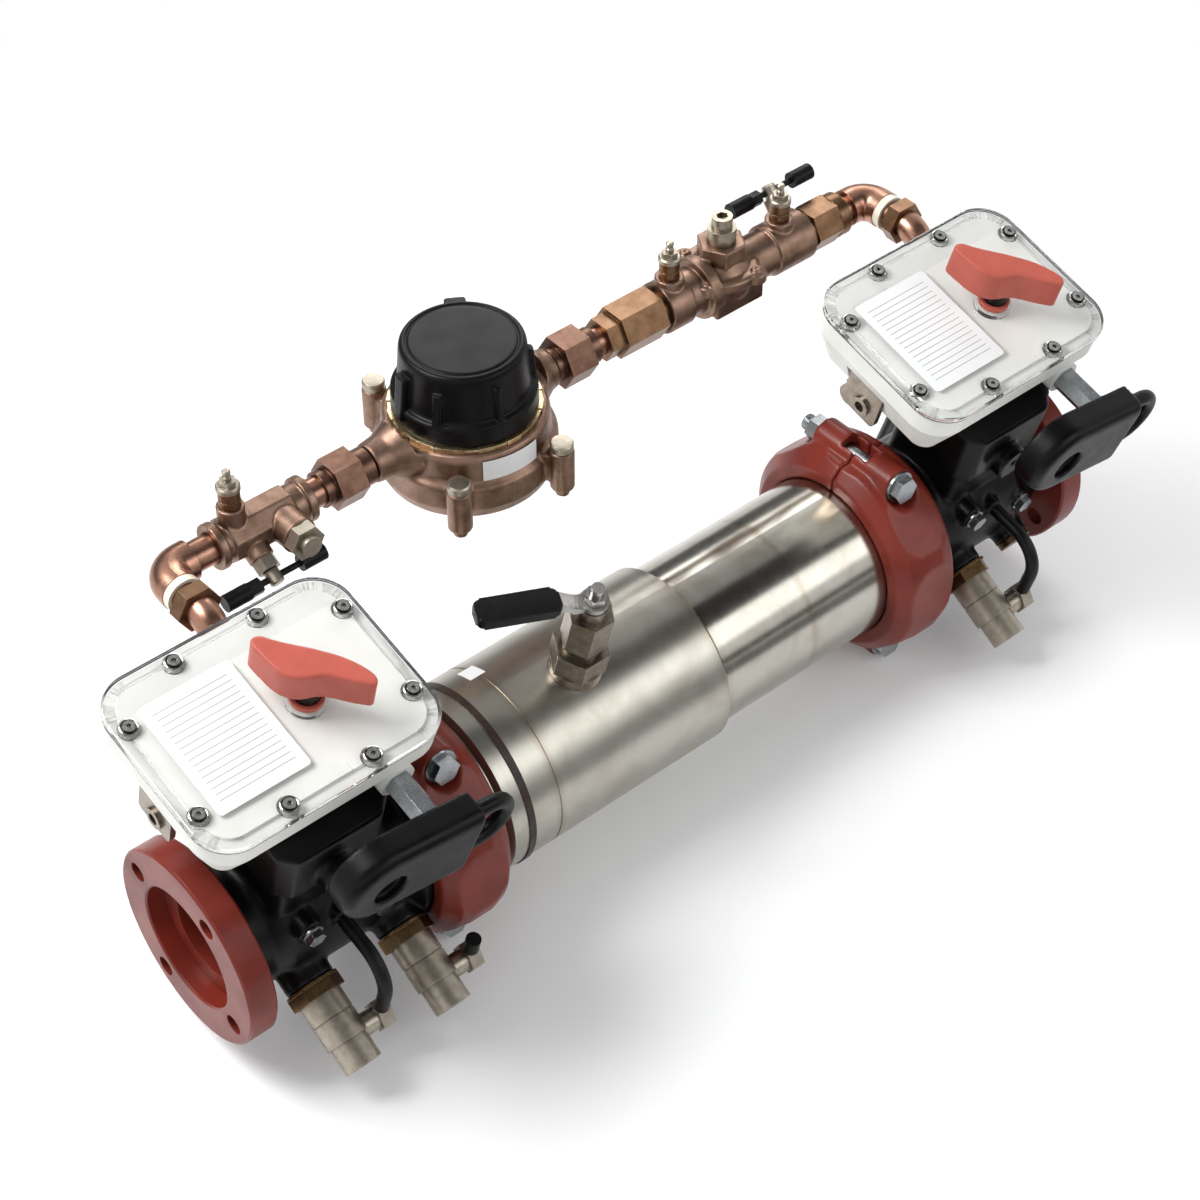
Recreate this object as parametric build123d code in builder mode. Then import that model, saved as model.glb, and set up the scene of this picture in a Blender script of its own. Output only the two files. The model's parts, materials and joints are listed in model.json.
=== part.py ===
from build123d import *
import os
from math import atan2, cos, degrees, radians, sin

os.makedirs("parts", exist_ok=True)

# Frame: millimetres, origin at the middle of the inlet flange's face.
# +X runs along the main pipe to the outlet, +Y toward the bypass, +Z up.

# driving dimensions of the main run
LENGTH = 1008.0
FLANGE_R = 95.25
FLANGE_T = 28.0
FLANGE_BORE_R = 59.0
BOLT_CIRCLE_R = 76.2
BOLT_HOLE_R = 9.5
FIRST_HOLE_DEG = 33.0
SPIGOT_DEPTH = 20.0
WATERWAY_R = 40.0
CASTING_R = 70.0
PIPE_R = 82.55
GROOVE_DEPTH = 2.2
GROOVE_SET = 15.9
GROOVE_W = 9.6
COUPLING_W = 76.0
COUPLING_X = (238.0, 786.0)
PIPE_GAP = 3.0
VALVE_X = (104.0, 896.0)
STEM_DX = 26.0
LEAN_DEG = 15.0

# driving dimensions of the gear box on each valve
BOX_Y = 47.0
LID_HALF_X = 119.0
LID_HALF_Y = 92.0
LID_CORNER_R = 36.0
BOX_BOTTOM_Z = 160.0
BOX_TOP_Z = 222.0
LID_TOP_Z = 230.0
HUB_DY = 38.0
SHAFT_DX = 63.0
SHAFT_Z = 184.0
CRANK_BACK_Y = -86.0
CRANK_HUB_Z = 174.0
CRANK_SLOPE_DEG = -12.0
CRANK_HALF_W = 40.0
CRANK_BAR = 94.0
CRANK_T = 30.0
GRIP_R = 25.0
GRIP_BAR_R = 7.5
GRIP_UP = 3.0
GRIP_X = CRANK_BAR + 18.0
HANDLE_T = 33.0
HANDLE_EDGE = (
    (-15.0, 41.7), (-8.5, 33.1), (1.5, 21.9), (9.2, 13.8), (16.4, 5.1), (23.5, -3.9),
    (29.7, -14.0), (34.8, -25.6), (36.9, -33.8), (36.1, -39.6), (32.6, -42.6), (27.2, -39.5),
    (18.7, -31.0), (9.8, -20.5), (2.0, -13.5), (-6.0, -9.8), (-14.0, -6.0), (-21.0, 0.5),
    (-25.5, 9.0), (-27.5, 19.0), (-28.9, 36.5), (-28.4, 43.0), (-24.5, 46.4), (-19.8, 45.8))
SCREWS = ((41.0, 79.2), (105.1, 47.7), (105.1, -47.7), (41.0, -79.2),
          (-41.0, -79.2), (-105.1, -47.7), (-105.1, 47.7), (-41.0, 79.2))

# driving dimensions of the bypass
BYPASS_Y = 185.0
BYPASS_Z = 222.0
RISER_Y = 104.0
LEG_X = (130.0, 961.0)
TUBE_R = 14.3
TUBE_WALL = 1.6
CUP_R = 18.5
METER_X = 458.0
COCK_DEG = 30.0

# named clearances
RUN_FIT = 0.06
SEAT_FIT = 0.05
SIDE_GAP = 0.3
DISC_GAP = 0.3

LEAN_C = cos(radians(LEAN_DEG))
LEAN_S = sin(radians(LEAN_DEG))
COCK_C = cos(radians(COCK_DEG))
COCK_S = sin(radians(COCK_DEG))
GROOVE_R = PIPE_R - GROOVE_DEPTH
STEM_R = 8.0
DISC_R = WATERWAY_R - DISC_GAP


def lean(x, y, z):
    return (x, y * LEAN_C - z * LEAN_S, y * LEAN_S + z * LEAN_C)


def upward(x, y, z):
    """A plane of the leaning valve frame that looks up the stem."""
    return Plane(origin=lean(x, y, z), x_dir=(1, 0, 0), z_dir=(0, -LEAN_S, LEAN_C))


def frontward(x, y, z):
    """A plane of the leaning valve frame that looks out of the front."""
    return Plane(origin=lean(x, y, z), x_dir=(1, 0, 0), z_dir=(0, -LEAN_C, -LEAN_S))


def leftward(x, y, z):
    """A plane of the leaning valve frame that looks toward the inlet."""
    return Plane(origin=lean(x, y, z), x_dir=(0, -LEAN_C, -LEAN_S), z_dir=(-1, 0, 0))


def along_cock(x, radius):
    """A plane square to a test cock, at a radius from the pipe's axis."""
    return Plane(
        origin=(x, -COCK_C * radius, -COCK_S * radius),
        x_dir=(1, 0, 0),
        z_dir=(0, -COCK_C, -COCK_S),
    )


def rod(plane, radius, length, mode=Mode.ADD):
    with BuildSketch(plane) as circle:
        Circle(radius)
    extrude(circle.sketch, amount=length, mode=mode)


def hexagon(plane, across_flats, length, mode=Mode.ADD, turn=0.0):
    with BuildSketch(plane) as outline:
        RegularPolygon(across_flats / 2, 6, major_radius=False, rotation=turn)
    extrude(outline.sketch, amount=length, mode=mode)


def block(plane, width, height, length, mode=Mode.ADD, corner=0.0):
    with BuildSketch(plane) as outline:
        if corner:
            RectangleRounded(width, height, corner)
        else:
            Rectangle(width, height)
    extrude(outline.sketch, amount=length, mode=mode)


def polygon(plane, points, length, mode=Mode.ADD):
    with BuildSketch(plane) as outline:
        with BuildLine() as edge:
            Polyline(points, close=True)
        make_face(edge.line.edges())
    extrude(outline.sketch, amount=length, mode=mode)


def turned(points, mode=Mode.ADD):
    """A ring or shaft turned about the main pipe's axis, from (x, radius) points."""
    with BuildSketch(Plane.XZ) as outline:
        with BuildLine() as edge:
            Polyline(points, close=True)
        make_face(edge.line.edges())
    revolve(outline.sketch, axis=Axis.X, mode=mode)


def turned_on(points, y, z, mode=Mode.ADD):
    """The same about an axis along X that stands at y, z."""
    moved = [(px, pr) for px, pr in points]
    with BuildSketch(Plane(origin=(0, y, z), x_dir=(1, 0, 0), z_dir=(0, -1, 0))) as outline:
        with BuildLine() as edge:
            Polyline(moved, close=True)
        make_face(edge.line.edges())
    revolve(outline.sketch, axis=Axis((0, y, z), (1, 0, 0)), mode=mode)


def turned_up(points, x, y, mode=Mode.ADD):
    """A shape turned about a vertical axis at x, y, from (radius, z) points."""
    with BuildSketch(Plane(origin=(x, y, 0), x_dir=(1, 0, 0), z_dir=(0, -1, 0))) as outline:
        with BuildLine() as edge:
            Polyline(points, close=True)
        make_face(edge.line.edges())
    revolve(outline.sketch, axis=Axis((x, y, 0), (0, 0, 1)), mode=mode)


def tube(points, radii, outer, inner):
    """A bent tube of straight runs and tangent arcs."""
    with BuildLine() as path:
        if radii:
            FilletPolyline(*points, radius=radii)
        else:
            Line(*points)
    wire = path.line
    start = Plane(origin=wire @ 0, z_dir=wire % 0)
    with BuildSketch(start) as ring:
        Circle(outer)
        Circle(inner, mode=Mode.SUBTRACT)
    sweep(ring.sketch, path=wire)


def finish(part, label):
    part.part.label = label
    export_step(part.part, "parts/" + label + ".step")


# flanges
for label, face, way in (("inlet_flange", 0.0, 1.0), ("outlet_flange", LENGTH, -1.0)):
    back = face + way * FLANGE_T
    with BuildPart() as flange:
        turned([
            (face, FLANGE_BORE_R + 1.5),
            (face, FLANGE_R - 2.0),
            (face + way * 2.0, FLANGE_R),
            (back - way * 2.0, FLANGE_R),
            (back, FLANGE_R - 2.0),
            (back, FLANGE_BORE_R),
            (face + way * 1.5, FLANGE_BORE_R),
        ])
        with BuildSketch(Plane.YZ.offset(min(face, back))):
            with PolarLocations(BOLT_CIRCLE_R, 4, start_angle=FIRST_HOLE_DEG):
                Circle(BOLT_HOLE_R)
        extrude(amount=FLANGE_T, mode=Mode.SUBTRACT)
    finish(flange, label)

# valve bodies, each with its neck, bosses and bypass port
BODY_ENDS = (
    COUPLING_X[0] - PIPE_GAP / 2,
    LENGTH - COUPLING_X[1] - PIPE_GAP / 2,
)
COCKS = ((VALVE_X[0] - 29.0, VALVE_X[0] + 68.0), (VALVE_X[1] - 29.0,))
ALL_COCKS = COCKS[0] + COCKS[1]
PLUG_X = 940.0
PORT_X = (176.0, 866.0)
COCK_BASE_R = 83.0
HOSE_X = (COCKS[0][0] + 37.0, COCKS[1][0] + 37.0)
HOSE_Z = 38.0
NIPPLE_Y = -66.0
BOLTS = ((-25.0, 47.0), (49.0, 23.0))
BOLT_SEAT_Y = -66.0

for side, label in ((0, "inlet_body"), (1, "outlet_body")):
    way = 1.0 if side == 0 else -1.0
    face = 0.0 if side == 0 else LENGTH
    end = BODY_ENDS[side]
    centre = VALVE_X[side]
    stem_x = centre + STEM_DX
    with BuildPart() as body:
        turned([(face + way * a, r) for a, r in (
            (SPIGOT_DEPTH, WATERWAY_R),
            (SPIGOT_DEPTH, FLANGE_BORE_R - SEAT_FIT),
            (FLANGE_T, FLANGE_BORE_R - SEAT_FIT),
            (FLANGE_T, FLANGE_BORE_R + 1.4),
            (50.5, FLANGE_BORE_R + 1.4),
            (64.5, CASTING_R),
            (end - 52.0, CASTING_R),
            (end - 42.0, PIPE_R),
            (end - GROOVE_SET - GROOVE_W, PIPE_R),
            (end - GROOVE_SET - GROOVE_W, GROOVE_R),
            (end - GROOVE_SET, GROOVE_R),
            (end - GROOVE_SET, PIPE_R),
            (end, PIPE_R),
            (end, 72.0),
            (end - 8.0, 72.0),
            (end - 52.0, WATERWAY_R),
        )])
        # neck and head that carry the gear box
        block(upward(centre - 1.0, 2.0, 0), 90.0, 92.0, 98.0, corner=12.0)
        polygon(upward(centre, 0, 98.0), [
            (-52, -38), (-38, -52), (46, -52), (81, -19),
            (81, 75), (62, 95), (-38, 95), (-52, 80),
        ], BOX_BOTTOM_Z - 98.0)
        rod(upward(stem_x, 0, -82.0), 18.0, 30.0)
        # round boss with a keyhole on the front of the head
        rod(frontward(centre, -48.0, 117.0), 18.0, 19.0)
        # bolt bosses, hose boss, cock bosses
        for dx, z in BOLTS:
            rod(frontward(centre + dx, -30.0, z), 12.0, -30.0 - BOLT_SEAT_Y)
        rod(frontward(HOSE_X[side], -30.0, HOSE_Z), 9.0, -30.0 - NIPPLE_Y)
        rod(frontward(HOSE_X[side], NIPPLE_Y, HOSE_Z), 3.4, 12.0)
        for cock_x in COCKS[side]:
            rod(along_cock(cock_x, 50.0), 23.0, COCK_BASE_R - 50.0)
        if side == 1:
            rod(along_cock(PLUG_X, 45.0), 18.0, 37.0)
        # arm and upward boss for the bypass riser
        arm = Vector(LEG_X[side] - PORT_X[side], RISER_Y - 52.0, 0)
        arm_plane = Plane(origin=(PORT_X[side], 52.0, 0), z_dir=arm)
        rod(arm_plane, 15.5, arm.length)
        rod(Plane(origin=(LEG_X[side], RISER_Y, -17.0)), 17.5, 57.0)
        # water way, liner seat, stem bore
        turned([(face + way * a, r) for a, r in (
            (SPIGOT_DEPTH - 1.0, 0.0),
            (SPIGOT_DEPTH - 1.0, WATERWAY_R),
            (end - 52.0, WATERWAY_R),
            (end - 8.0, 72.0),
            (end + 1.0, 72.0),
            (end + 1.0, 0.0),
        )], mode=Mode.SUBTRACT)
        turned([
            (stem_x - 20.0, 30.0), (stem_x - 20.0, 44.0),
            (stem_x + 20.0, 44.0), (stem_x + 20.0, 30.0),
        ], mode=Mode.SUBTRACT)
        rod(upward(stem_x, 0, -58.3), STEM_R + RUN_FIT, BOX_BOTTOM_Z + 60.0, Mode.SUBTRACT)
        # passages
        rod(Plane(origin=Vector(PORT_X[side], 52.0, 0) - arm.normalized() * 16.0, z_dir=arm),
            10.0, arm.length + 16.0, Mode.SUBTRACT)
        rod(Plane(origin=(LEG_X[side], RISER_Y, 0)), 10.0, 42.0, Mode.SUBTRACT)
        rod(Plane(origin=(LEG_X[side], RISER_Y, 20.0)), TUBE_R + SEAT_FIT, 30.0, Mode.SUBTRACT)
        for cock_x in COCKS[side]:
            rod(along_cock(cock_x, 30.0), 6.0, 60.0, Mode.SUBTRACT)
            rod(along_cock(cock_x, COCK_BASE_R - 14.0), 11.0, 20.0, Mode.SUBTRACT)
        if side == 1:
            rod(along_cock(PLUG_X, 66.0), 12.0, 20.0, Mode.SUBTRACT)
        for dx, z in BOLTS:
            rod(frontward(centre + dx, -48.0, z), 4.05, 20.0, Mode.SUBTRACT)
            rod(frontward(centre + dx, BOLT_SEAT_Y, z), 12.4, 14.0, Mode.SUBTRACT)
        rod(frontward(centre, -62.0, 120.0), 4.0, 8.0, Mode.SUBTRACT)
        block(frontward(centre, -62.0, 113.0), 4.0, 12.0, 8.0, Mode.SUBTRACT)
    finish(body, label)

# rubber liners round both discs
with BuildPart() as seat_liners:
    for centre in VALVE_X:
        stem_x = centre + STEM_DX
        turned([
            (stem_x - 19.98, WATERWAY_R), (stem_x - 19.98, 43.95),
            (stem_x + 19.98, 43.95), (stem_x + 19.98, WATERWAY_R),
        ])
        rod(upward(stem_x, 0, -50.0), STEM_R + RUN_FIT, 100.0, Mode.SUBTRACT)
finish(seat_liners, "seat_liners")

# discs, half open as in the picture's handles, with their stems
for side, tag in ((0, "inlet"), (1, "outlet")):
    stem_x = VALVE_X[side] + STEM_DX
    half = sin(radians(45.0))
    normal = (half, half * LEAN_C, half * LEAN_S)
    with BuildPart() as disc:
        with BuildSketch(Plane(origin=(stem_x, 0, 0), z_dir=normal)) as slab:
            Circle(DISC_R + 5.0)
        extrude(slab.sketch, amount=5.0, both=True)
        with Locations((stem_x, 0, 0)):
            Sphere(DISC_R, mode=Mode.INTERSECT)
        rod(upward(stem_x, 0, 3.0 - DISC_R), 12.0, 2 * DISC_R - 6.0)
        rod(upward(stem_x, 0, -58.0), STEM_R, 58.0 + 184.0)
    finish(disc, tag + "_disc")

# gear boxes: housing, clear lid, hub, handle, shaft and crank
BOX_WALL_Z = 200.0
BOX_DRAFT_DEG = 24.0
for side, tag in ((0, "inlet"), (1, "outlet")):
    centre = VALVE_X[side]
    hub_x = centre + STEM_DX
    shaft_x = centre + SHAFT_DX
    with BuildPart() as housing:
        with BuildSketch(upward(centre, BOX_Y, BOX_WALL_Z)) as wall:
            RectangleRounded(2 * LID_HALF_X - 4.0, 2 * LID_HALF_Y - 4.0, LID_CORNER_R - 2.0)
        extrude(wall.sketch, amount=BOX_TOP_Z - BOX_WALL_Z)
        extrude(wall.sketch, amount=BOX_BOTTOM_Z - BOX_WALL_Z, taper=BOX_DRAFT_DEG)
        # raised white tray under the clear lid
        with BuildSketch(upward(centre, BOX_Y, BOX_TOP_Z)) as tray:
            RectangleRounded(2 * LID_HALF_X - 24.0, 2 * LID_HALF_Y - 24.0, LID_CORNER_R - 12.0)
            with Locations(*SCREWS):
                Circle(10.0, mode=Mode.SUBTRACT)
        extrude(tray.sketch, amount=3.5)
        rod(frontward(shaft_x, -28.0, SHAFT_Z), 17.0, 16.0)
        block(leftward(centre - 101.0, 52.0, 172.0), 52.0, 28.0, 30.0, Mode.SUBTRACT)
        rod(upward(hub_x, 0, BOX_BOTTOM_Z - 1.0), STEM_R + RUN_FIT, 25.3, Mode.SUBTRACT)
        rod(upward(hub_x, HUB_DY, 199.7), 10.0 + RUN_FIT, 40.0, Mode.SUBTRACT)
        rod(frontward(shaft_x, 5.0, SHAFT_Z), 9.0 + RUN_FIT, 60.0, Mode.SUBTRACT)
        with BuildSketch(upward(centre, BOX_Y, BOX_TOP_Z - 12.5)) as holes:
            with Locations(*SCREWS):
                Circle(2.25)
        extrude(holes.sketch, amount=20.0, mode=Mode.SUBTRACT)
    finish(housing, tag + "_housing")

    with BuildPart() as lid:
        with BuildSketch(upward(centre, BOX_Y, BOX_TOP_Z)) as outline:
            RectangleRounded(2 * LID_HALF_X, 2 * LID_HALF_Y, LID_CORNER_R)
        extrude(outline.sketch, amount=LID_TOP_Z - BOX_TOP_Z)
        with BuildSketch(upward(centre, BOX_Y, BOX_TOP_Z)) as hollow:
            RectangleRounded(2 * LID_HALF_X - 23.0, 2 * LID_HALF_Y - 23.0, LID_CORNER_R - 11.5)
            with Locations(*SCREWS):
                Circle(9.5, mode=Mode.SUBTRACT)
        extrude(hollow.sketch, amount=4.5, mode=Mode.SUBTRACT)
        rod(upward(hub_x, HUB_DY, LID_TOP_Z - 2.0), 18.0, 7.0)
        rod(upward(hub_x, HUB_DY, BOX_TOP_Z), 10.5, 20.0, Mode.SUBTRACT)
        with BuildSketch(upward(centre, BOX_Y, BOX_TOP_Z)) as holes:
            with Locations(*SCREWS):
                Circle(2.6)
        extrude(holes.sketch, amount=20.0, mode=Mode.SUBTRACT)
        block(upward(centre + 27.0, BOX_Y - 77.0, LID_TOP_Z - 1.5), 15.0, 11.0, 5.0,
              Mode.SUBTRACT, corner=2.0)
    finish(lid, tag + "_lid")

    with BuildPart() as hub:
        rod(upward(hub_x, HUB_DY, 200.0), 10.0, 40.0)
        rod(upward(hub_x, HUB_DY, LID_TOP_Z + 5.0 + SIDE_GAP), 14.5, 5.7)
        rod(upward(hub_x, HUB_DY, 241.0), 11.5, 11.0)
        block(upward(hub_x, HUB_DY, 252.0), 13.0, 13.0, 11.0)
    finish(hub, tag + "_hub")

    with BuildPart() as handle:
        with BuildSketch(upward(hub_x, HUB_DY, 252.0)) as outline:
            with BuildLine() as edge:
                Spline(*HANDLE_EDGE, periodic=True)
            make_face(edge.line.edges())
        extrude(outline.sketch, amount=HANDLE_T)
        top_rim = handle.edges().sort_by(lambda e: (e.center() - lean(0, 0, 0)).dot(
            Vector(0, -LEAN_S, LEAN_C)))[-1]
        fillet(top_rim, 2.5)
        block(upward(hub_x, HUB_DY, 252.0), 13.1, 13.1, 11.2, Mode.SUBTRACT)
    finish(handle, tag + "_handle")

    with BuildPart() as shaft:
        rod(frontward(shaft_x, 4.7, SHAFT_Z), 9.0, 49.0)
        hexagon(frontward(shaft_x, -44.0 - SIDE_GAP, SHAFT_Z), 22.0, 60.0)
    finish(shaft, tag + "_input_shaft")

    # crank bar with a round end, a recess and an open grip loop
    slope = radians(CRANK_SLOPE_DEG)
    bar_plane = Plane(
        origin=lean(centre + 1.0, CRANK_BACK_Y, CRANK_HUB_Z),
        x_dir=(cos(slope), -LEAN_S * sin(slope), LEAN_C * sin(slope)),
        z_dir=(0, -LEAN_C, -LEAN_S),
    )
    dx = shaft_x - (centre + 1.0)
    dz = SHAFT_Z - CRANK_HUB_Z
    socket = (dx * cos(slope) + dz * sin(slope), dz * cos(slope) - dx * sin(slope))
    with BuildPart() as crank:
        with BuildSketch(bar_plane) as bar:
            with BuildLine() as edge:
                Line((0, CRANK_HALF_W), (CRANK_BAR, CRANK_HALF_W))
                Line((CRANK_BAR, CRANK_HALF_W), (CRANK_BAR, -CRANK_HALF_W))
                Line((CRANK_BAR, -CRANK_HALF_W), (0, -CRANK_HALF_W))
                ThreePointArc((0, -CRANK_HALF_W), (-CRANK_HALF_W, 0), (0, CRANK_HALF_W))
            make_face(edge.line.edges())
        extrude(bar.sketch, amount=CRANK_T)
        rims = crank.edges().filter_by(lambda e: abs(e.tangent_at(0.5).dot(bar_plane.z_dir)) < 0.01)
        front = rims.filter_by(
            lambda e: (e.center() - bar_plane.origin).dot(bar_plane.z_dir) > CRANK_T - 1.0)
        long_front = front.filter_by(
            lambda e: (e.center() - bar_plane.origin).dot(bar_plane.x_dir) < CRANK_BAR - 1.0)
        fillet(long_front, 11.0)
        with BuildLine(bar_plane.offset(CRANK_T / 2)) as grip:
            Line((CRANK_BAR - 14.0, GRIP_UP + GRIP_R), (GRIP_X, GRIP_UP + GRIP_R))
            ThreePointArc((GRIP_X, GRIP_UP + GRIP_R), (GRIP_X + GRIP_R, GRIP_UP),
                          (GRIP_X, GRIP_UP - GRIP_R))
            Line((GRIP_X, GRIP_UP - GRIP_R), (CRANK_BAR - 14.0, GRIP_UP - GRIP_R))
        with BuildSketch(Plane(origin=grip.line @ 0, x_dir=bar_plane.z_dir,
                               z_dir=bar_plane.x_dir)) as round_bar:
            Circle(GRIP_BAR_R)
        sweep(round_bar.sketch, path=grip.line)
        with BuildSketch(bar_plane.offset(CRANK_T - 9.0)) as recess:
            with Locations((5.0, -5.0)):
                Circle(16.0)
        extrude(recess.sketch, amount=12.0, mode=Mode.SUBTRACT)
        hexagon(frontward(shaft_x, CRANK_BACK_Y + 2.0, SHAFT_Z), 22.1, 20.6, Mode.SUBTRACT)
    finish(crank, tag + "_crank")

# screws of both lids
with BuildPart() as lid_screws:
    for centre in VALVE_X:
        with BuildSketch(upward(centre, BOX_Y, LID_TOP_Z)) as heads:
            with Locations(*SCREWS):
                Circle(5.2)
        extrude(heads.sketch, amount=3.0)
        with BuildSketch(upward(centre, BOX_Y, BOX_TOP_Z - 12.0)) as shanks:
            with Locations(*SCREWS):
                Circle(2.2)
        extrude(shanks.sketch, amount=LID_TOP_Z - BOX_TOP_Z + 12.0)
        with BuildSketch(upward(centre, BOX_Y, LID_TOP_Z + 1.2)) as sockets:
            with Locations(*SCREWS):
                RegularPolygon(2.4, 6)
        extrude(sockets.sketch, amount=3.0, mode=Mode.SUBTRACT)
finish(lid_screws, "lid_screws")

# lug plate and conduit plug at the left of each box
with BuildPart() as lug_brackets:
    for centre in VALVE_X:
        block(leftward(centre - 101.0, 52.0, 163.0), 44.0, 46.0, 6.0, corner=6.0)
        rod(leftward(centre - 105.0, 50.0, 154.0), 10.0, 5.0)
        rod(leftward(centre - 100.0, 50.0, 154.0), 5.5, 15.0, Mode.SUBTRACT)
        rod(leftward(centre - 52.0, 72.0, 141.0), 9.0, 26.0)
        hexagon(leftward(centre - 74.0, 72.0, 141.0), 26.0, 14.0)
        rod(leftward(centre - 88.0, 72.0, 141.0), 11.0, 12.0)
finish(lug_brackets, "lug_brackets")

# grooved couplings: two halves, gasket and bolts at each joint
BOLT_RING = 102.0
COUPLING_R = 113.0
FLAT_R = 107.5
CAVITY_R = 91.0
for side, tag in ((0, "inlet"), (1, "outlet")):
    middle = COUPLING_X[side]
    left = middle - COUPLING_W / 2
    right = middle + COUPLING_W / 2
    key_in = PIPE_GAP / 2 + GROOVE_SET + 0.3
    key_out = PIPE_GAP / 2 + GROOVE_SET + GROOVE_W - 0.3
    for half_way, half_tag in ((-1.0, "front"), (1.0, "back")):
        with BuildPart() as half_ring:
            turned([
                (left, 96.0), (left + 12.0, COUPLING_R - 4.0), (left + 26.0, COUPLING_R),
                (right - 26.0, COUPLING_R), (right - 12.0, COUPLING_R - 4.0), (right, 96.0),
                (right, PIPE_R + 0.6), (middle + key_out, PIPE_R + 0.6),
                (middle + key_out, GROOVE_R + 0.35), (middle + key_in, GROOVE_R + 0.35),
                (middle + key_in, CAVITY_R), (middle - key_in, CAVITY_R),
                (middle - key_in, GROOVE_R + 0.35), (middle - key_out, GROOVE_R + 0.35),
                (middle - key_out, PIPE_R + 0.6), (left, PIPE_R + 0.6),
            ])
            with BuildSketch(Plane.YZ.offset(left - 1.0)) as facets:
                RegularPolygon(FLAT_R, 8, major_radius=False, rotation=22.5)
            extrude(facets.sketch, amount=COUPLING_W + 2.0, mode=Mode.INTERSECT)
            for z in (BOLT_RING, -BOLT_RING):
                with BuildSketch(Plane(origin=(middle, -50.0, z), x_dir=(1, 0, 0),
                                       z_dir=(0, 1, 0))) as ear:
                    Circle(18.0)
                extrude(ear.sketch, amount=100.0)
            turned([
                (middle - key_in, 30.0), (middle - key_in, CAVITY_R),
                (middle + key_in, CAVITY_R), (middle + key_in, 30.0),
            ], mode=Mode.SUBTRACT)
            for z in (BOLT_RING, -BOLT_RING):
                with BuildSketch(Plane(origin=(middle, -60.0, z), x_dir=(1, 0, 0),
                                       z_dir=(0, 1, 0))) as hole:
                    Circle(8.5)
                extrude(hole.sketch, amount=120.0, mode=Mode.SUBTRACT)
                for seat in (-50.0, 50.0):
                    spot = Plane(origin=(middle, seat, z), x_dir=(1, 0, 0), z_dir=(0, seat, 0))
                    rod(spot, 18.0, 40.0, Mode.SUBTRACT)
                with BuildSketch(Plane(origin=(middle, -17.0, z * 1.12), x_dir=(1, 0, 0),
                                       z_dir=(0, 1, 0))) as window:
                    Rectangle(21.0, 24.0)
                extrude(window.sketch, amount=34.0, mode=Mode.SUBTRACT)
            with BuildSketch(Plane.XZ.offset(-half_way * SIDE_GAP / 2)) as halving:
                with Locations((middle, 0)):
                    Rectangle(200.0, 400.0)
            extrude(halving.sketch, amount=half_way * 200.0, mode=Mode.SUBTRACT)
        finish(half_ring, tag + "_coupling_" + half_tag)

with BuildPart() as gaskets:
    for middle in COUPLING_X:
        reach = PIPE_GAP / 2 + GROOVE_SET
        turned([
            (middle - reach, PIPE_R + SEAT_FIT), (middle - reach, CAVITY_R - 0.2),
            (middle + reach, CAVITY_R - 0.2), (middle + reach, PIPE_R + SEAT_FIT),
        ])
finish(gaskets, "gaskets")

# zinc bolts of the couplings and on the fronts of both bodies
with BuildPart() as bolts:
    for centre in VALVE_X:
        for dx, z in BOLTS:
            rod(frontward(centre + dx, BOLT_SEAT_Y, z), 10.0, 2.0)
            hexagon(frontward(centre + dx, BOLT_SEAT_Y - 2.0, z), 15.0, 7.0)
            rod(frontward(centre + dx, -49.0, z), 4.0, 17.0)
    for middle in COUPLING_X:
        for z in (BOLT_RING, -BOLT_RING):
            spot = Plane(origin=(middle, -50.0, z), x_dir=(1, 0, 0), z_dir=(0, -1, 0))
            back_spot = Plane(origin=(middle, 50.0, z), x_dir=(1, 0, 0), z_dir=(0, 1, 0))
            rod(spot, 16.0, 2.5)
            hexagon(spot.offset(2.5), 24.0, 9.0)
            rod(spot.offset(-100.0), 8.0, 101.0)
            hexagon(back_spot, 24.0, 14.0)
            rod(back_spot, 8.0, 24.0)
finish(bolts, "bolts")

# stainless barrel with its two grooved ends
BARREL_X = (COUPLING_X[0] + PIPE_GAP / 2, COUPLING_X[1] - PIPE_GAP / 2)
BARREL_R = 90.0
TEST_X = 411.0
BAND_X = 306.0
with BuildPart() as barrel:
    left, right = BARREL_X
    turned([
        (left, 76.0), (left, PIPE_R),
        (left + GROOVE_SET, PIPE_R), (left + GROOVE_SET, GROOVE_R),
        (left + GROOVE_SET + GROOVE_W, GROOVE_R), (left + GROOVE_SET + GROOVE_W, PIPE_R),
        (left + 43.0, PIPE_R), (left + 47.0, BARREL_R),
        (338.5, BARREL_R), (338.5, BARREL_R - 0.8), (340.0, BARREL_R - 0.8), (340.0, BARREL_R),
        (540.0, BARREL_R), (546.0, PIPE_R),
        (right - GROOVE_SET - GROOVE_W, PIPE_R), (right - GROOVE_SET - GROOVE_W, GROOVE_R),
        (right - GROOVE_SET, GROOVE_R), (right - GROOVE_SET, PIPE_R),
        (right, PIPE_R), (right, 76.0),
        (541.0, 76.0), (533.0, 85.0), (left + 56.0, 85.0), (left + 48.0, 76.0),
    ])
    rod(upward(TEST_X, 0, 80.0), 6.0, 30.0, Mode.SUBTRACT)
finish(barrel, "barrel")
with BuildPart() as barrel_band:
    turned([
        (BAND_X - 3.5, BARREL_R), (BAND_X - 3.5, BARREL_R + 1.2),
        (BAND_X + 3.5, BARREL_R + 1.2), (BAND_X + 3.5, BARREL_R),
    ])
finish(barrel_band, "barrel_band")

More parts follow.
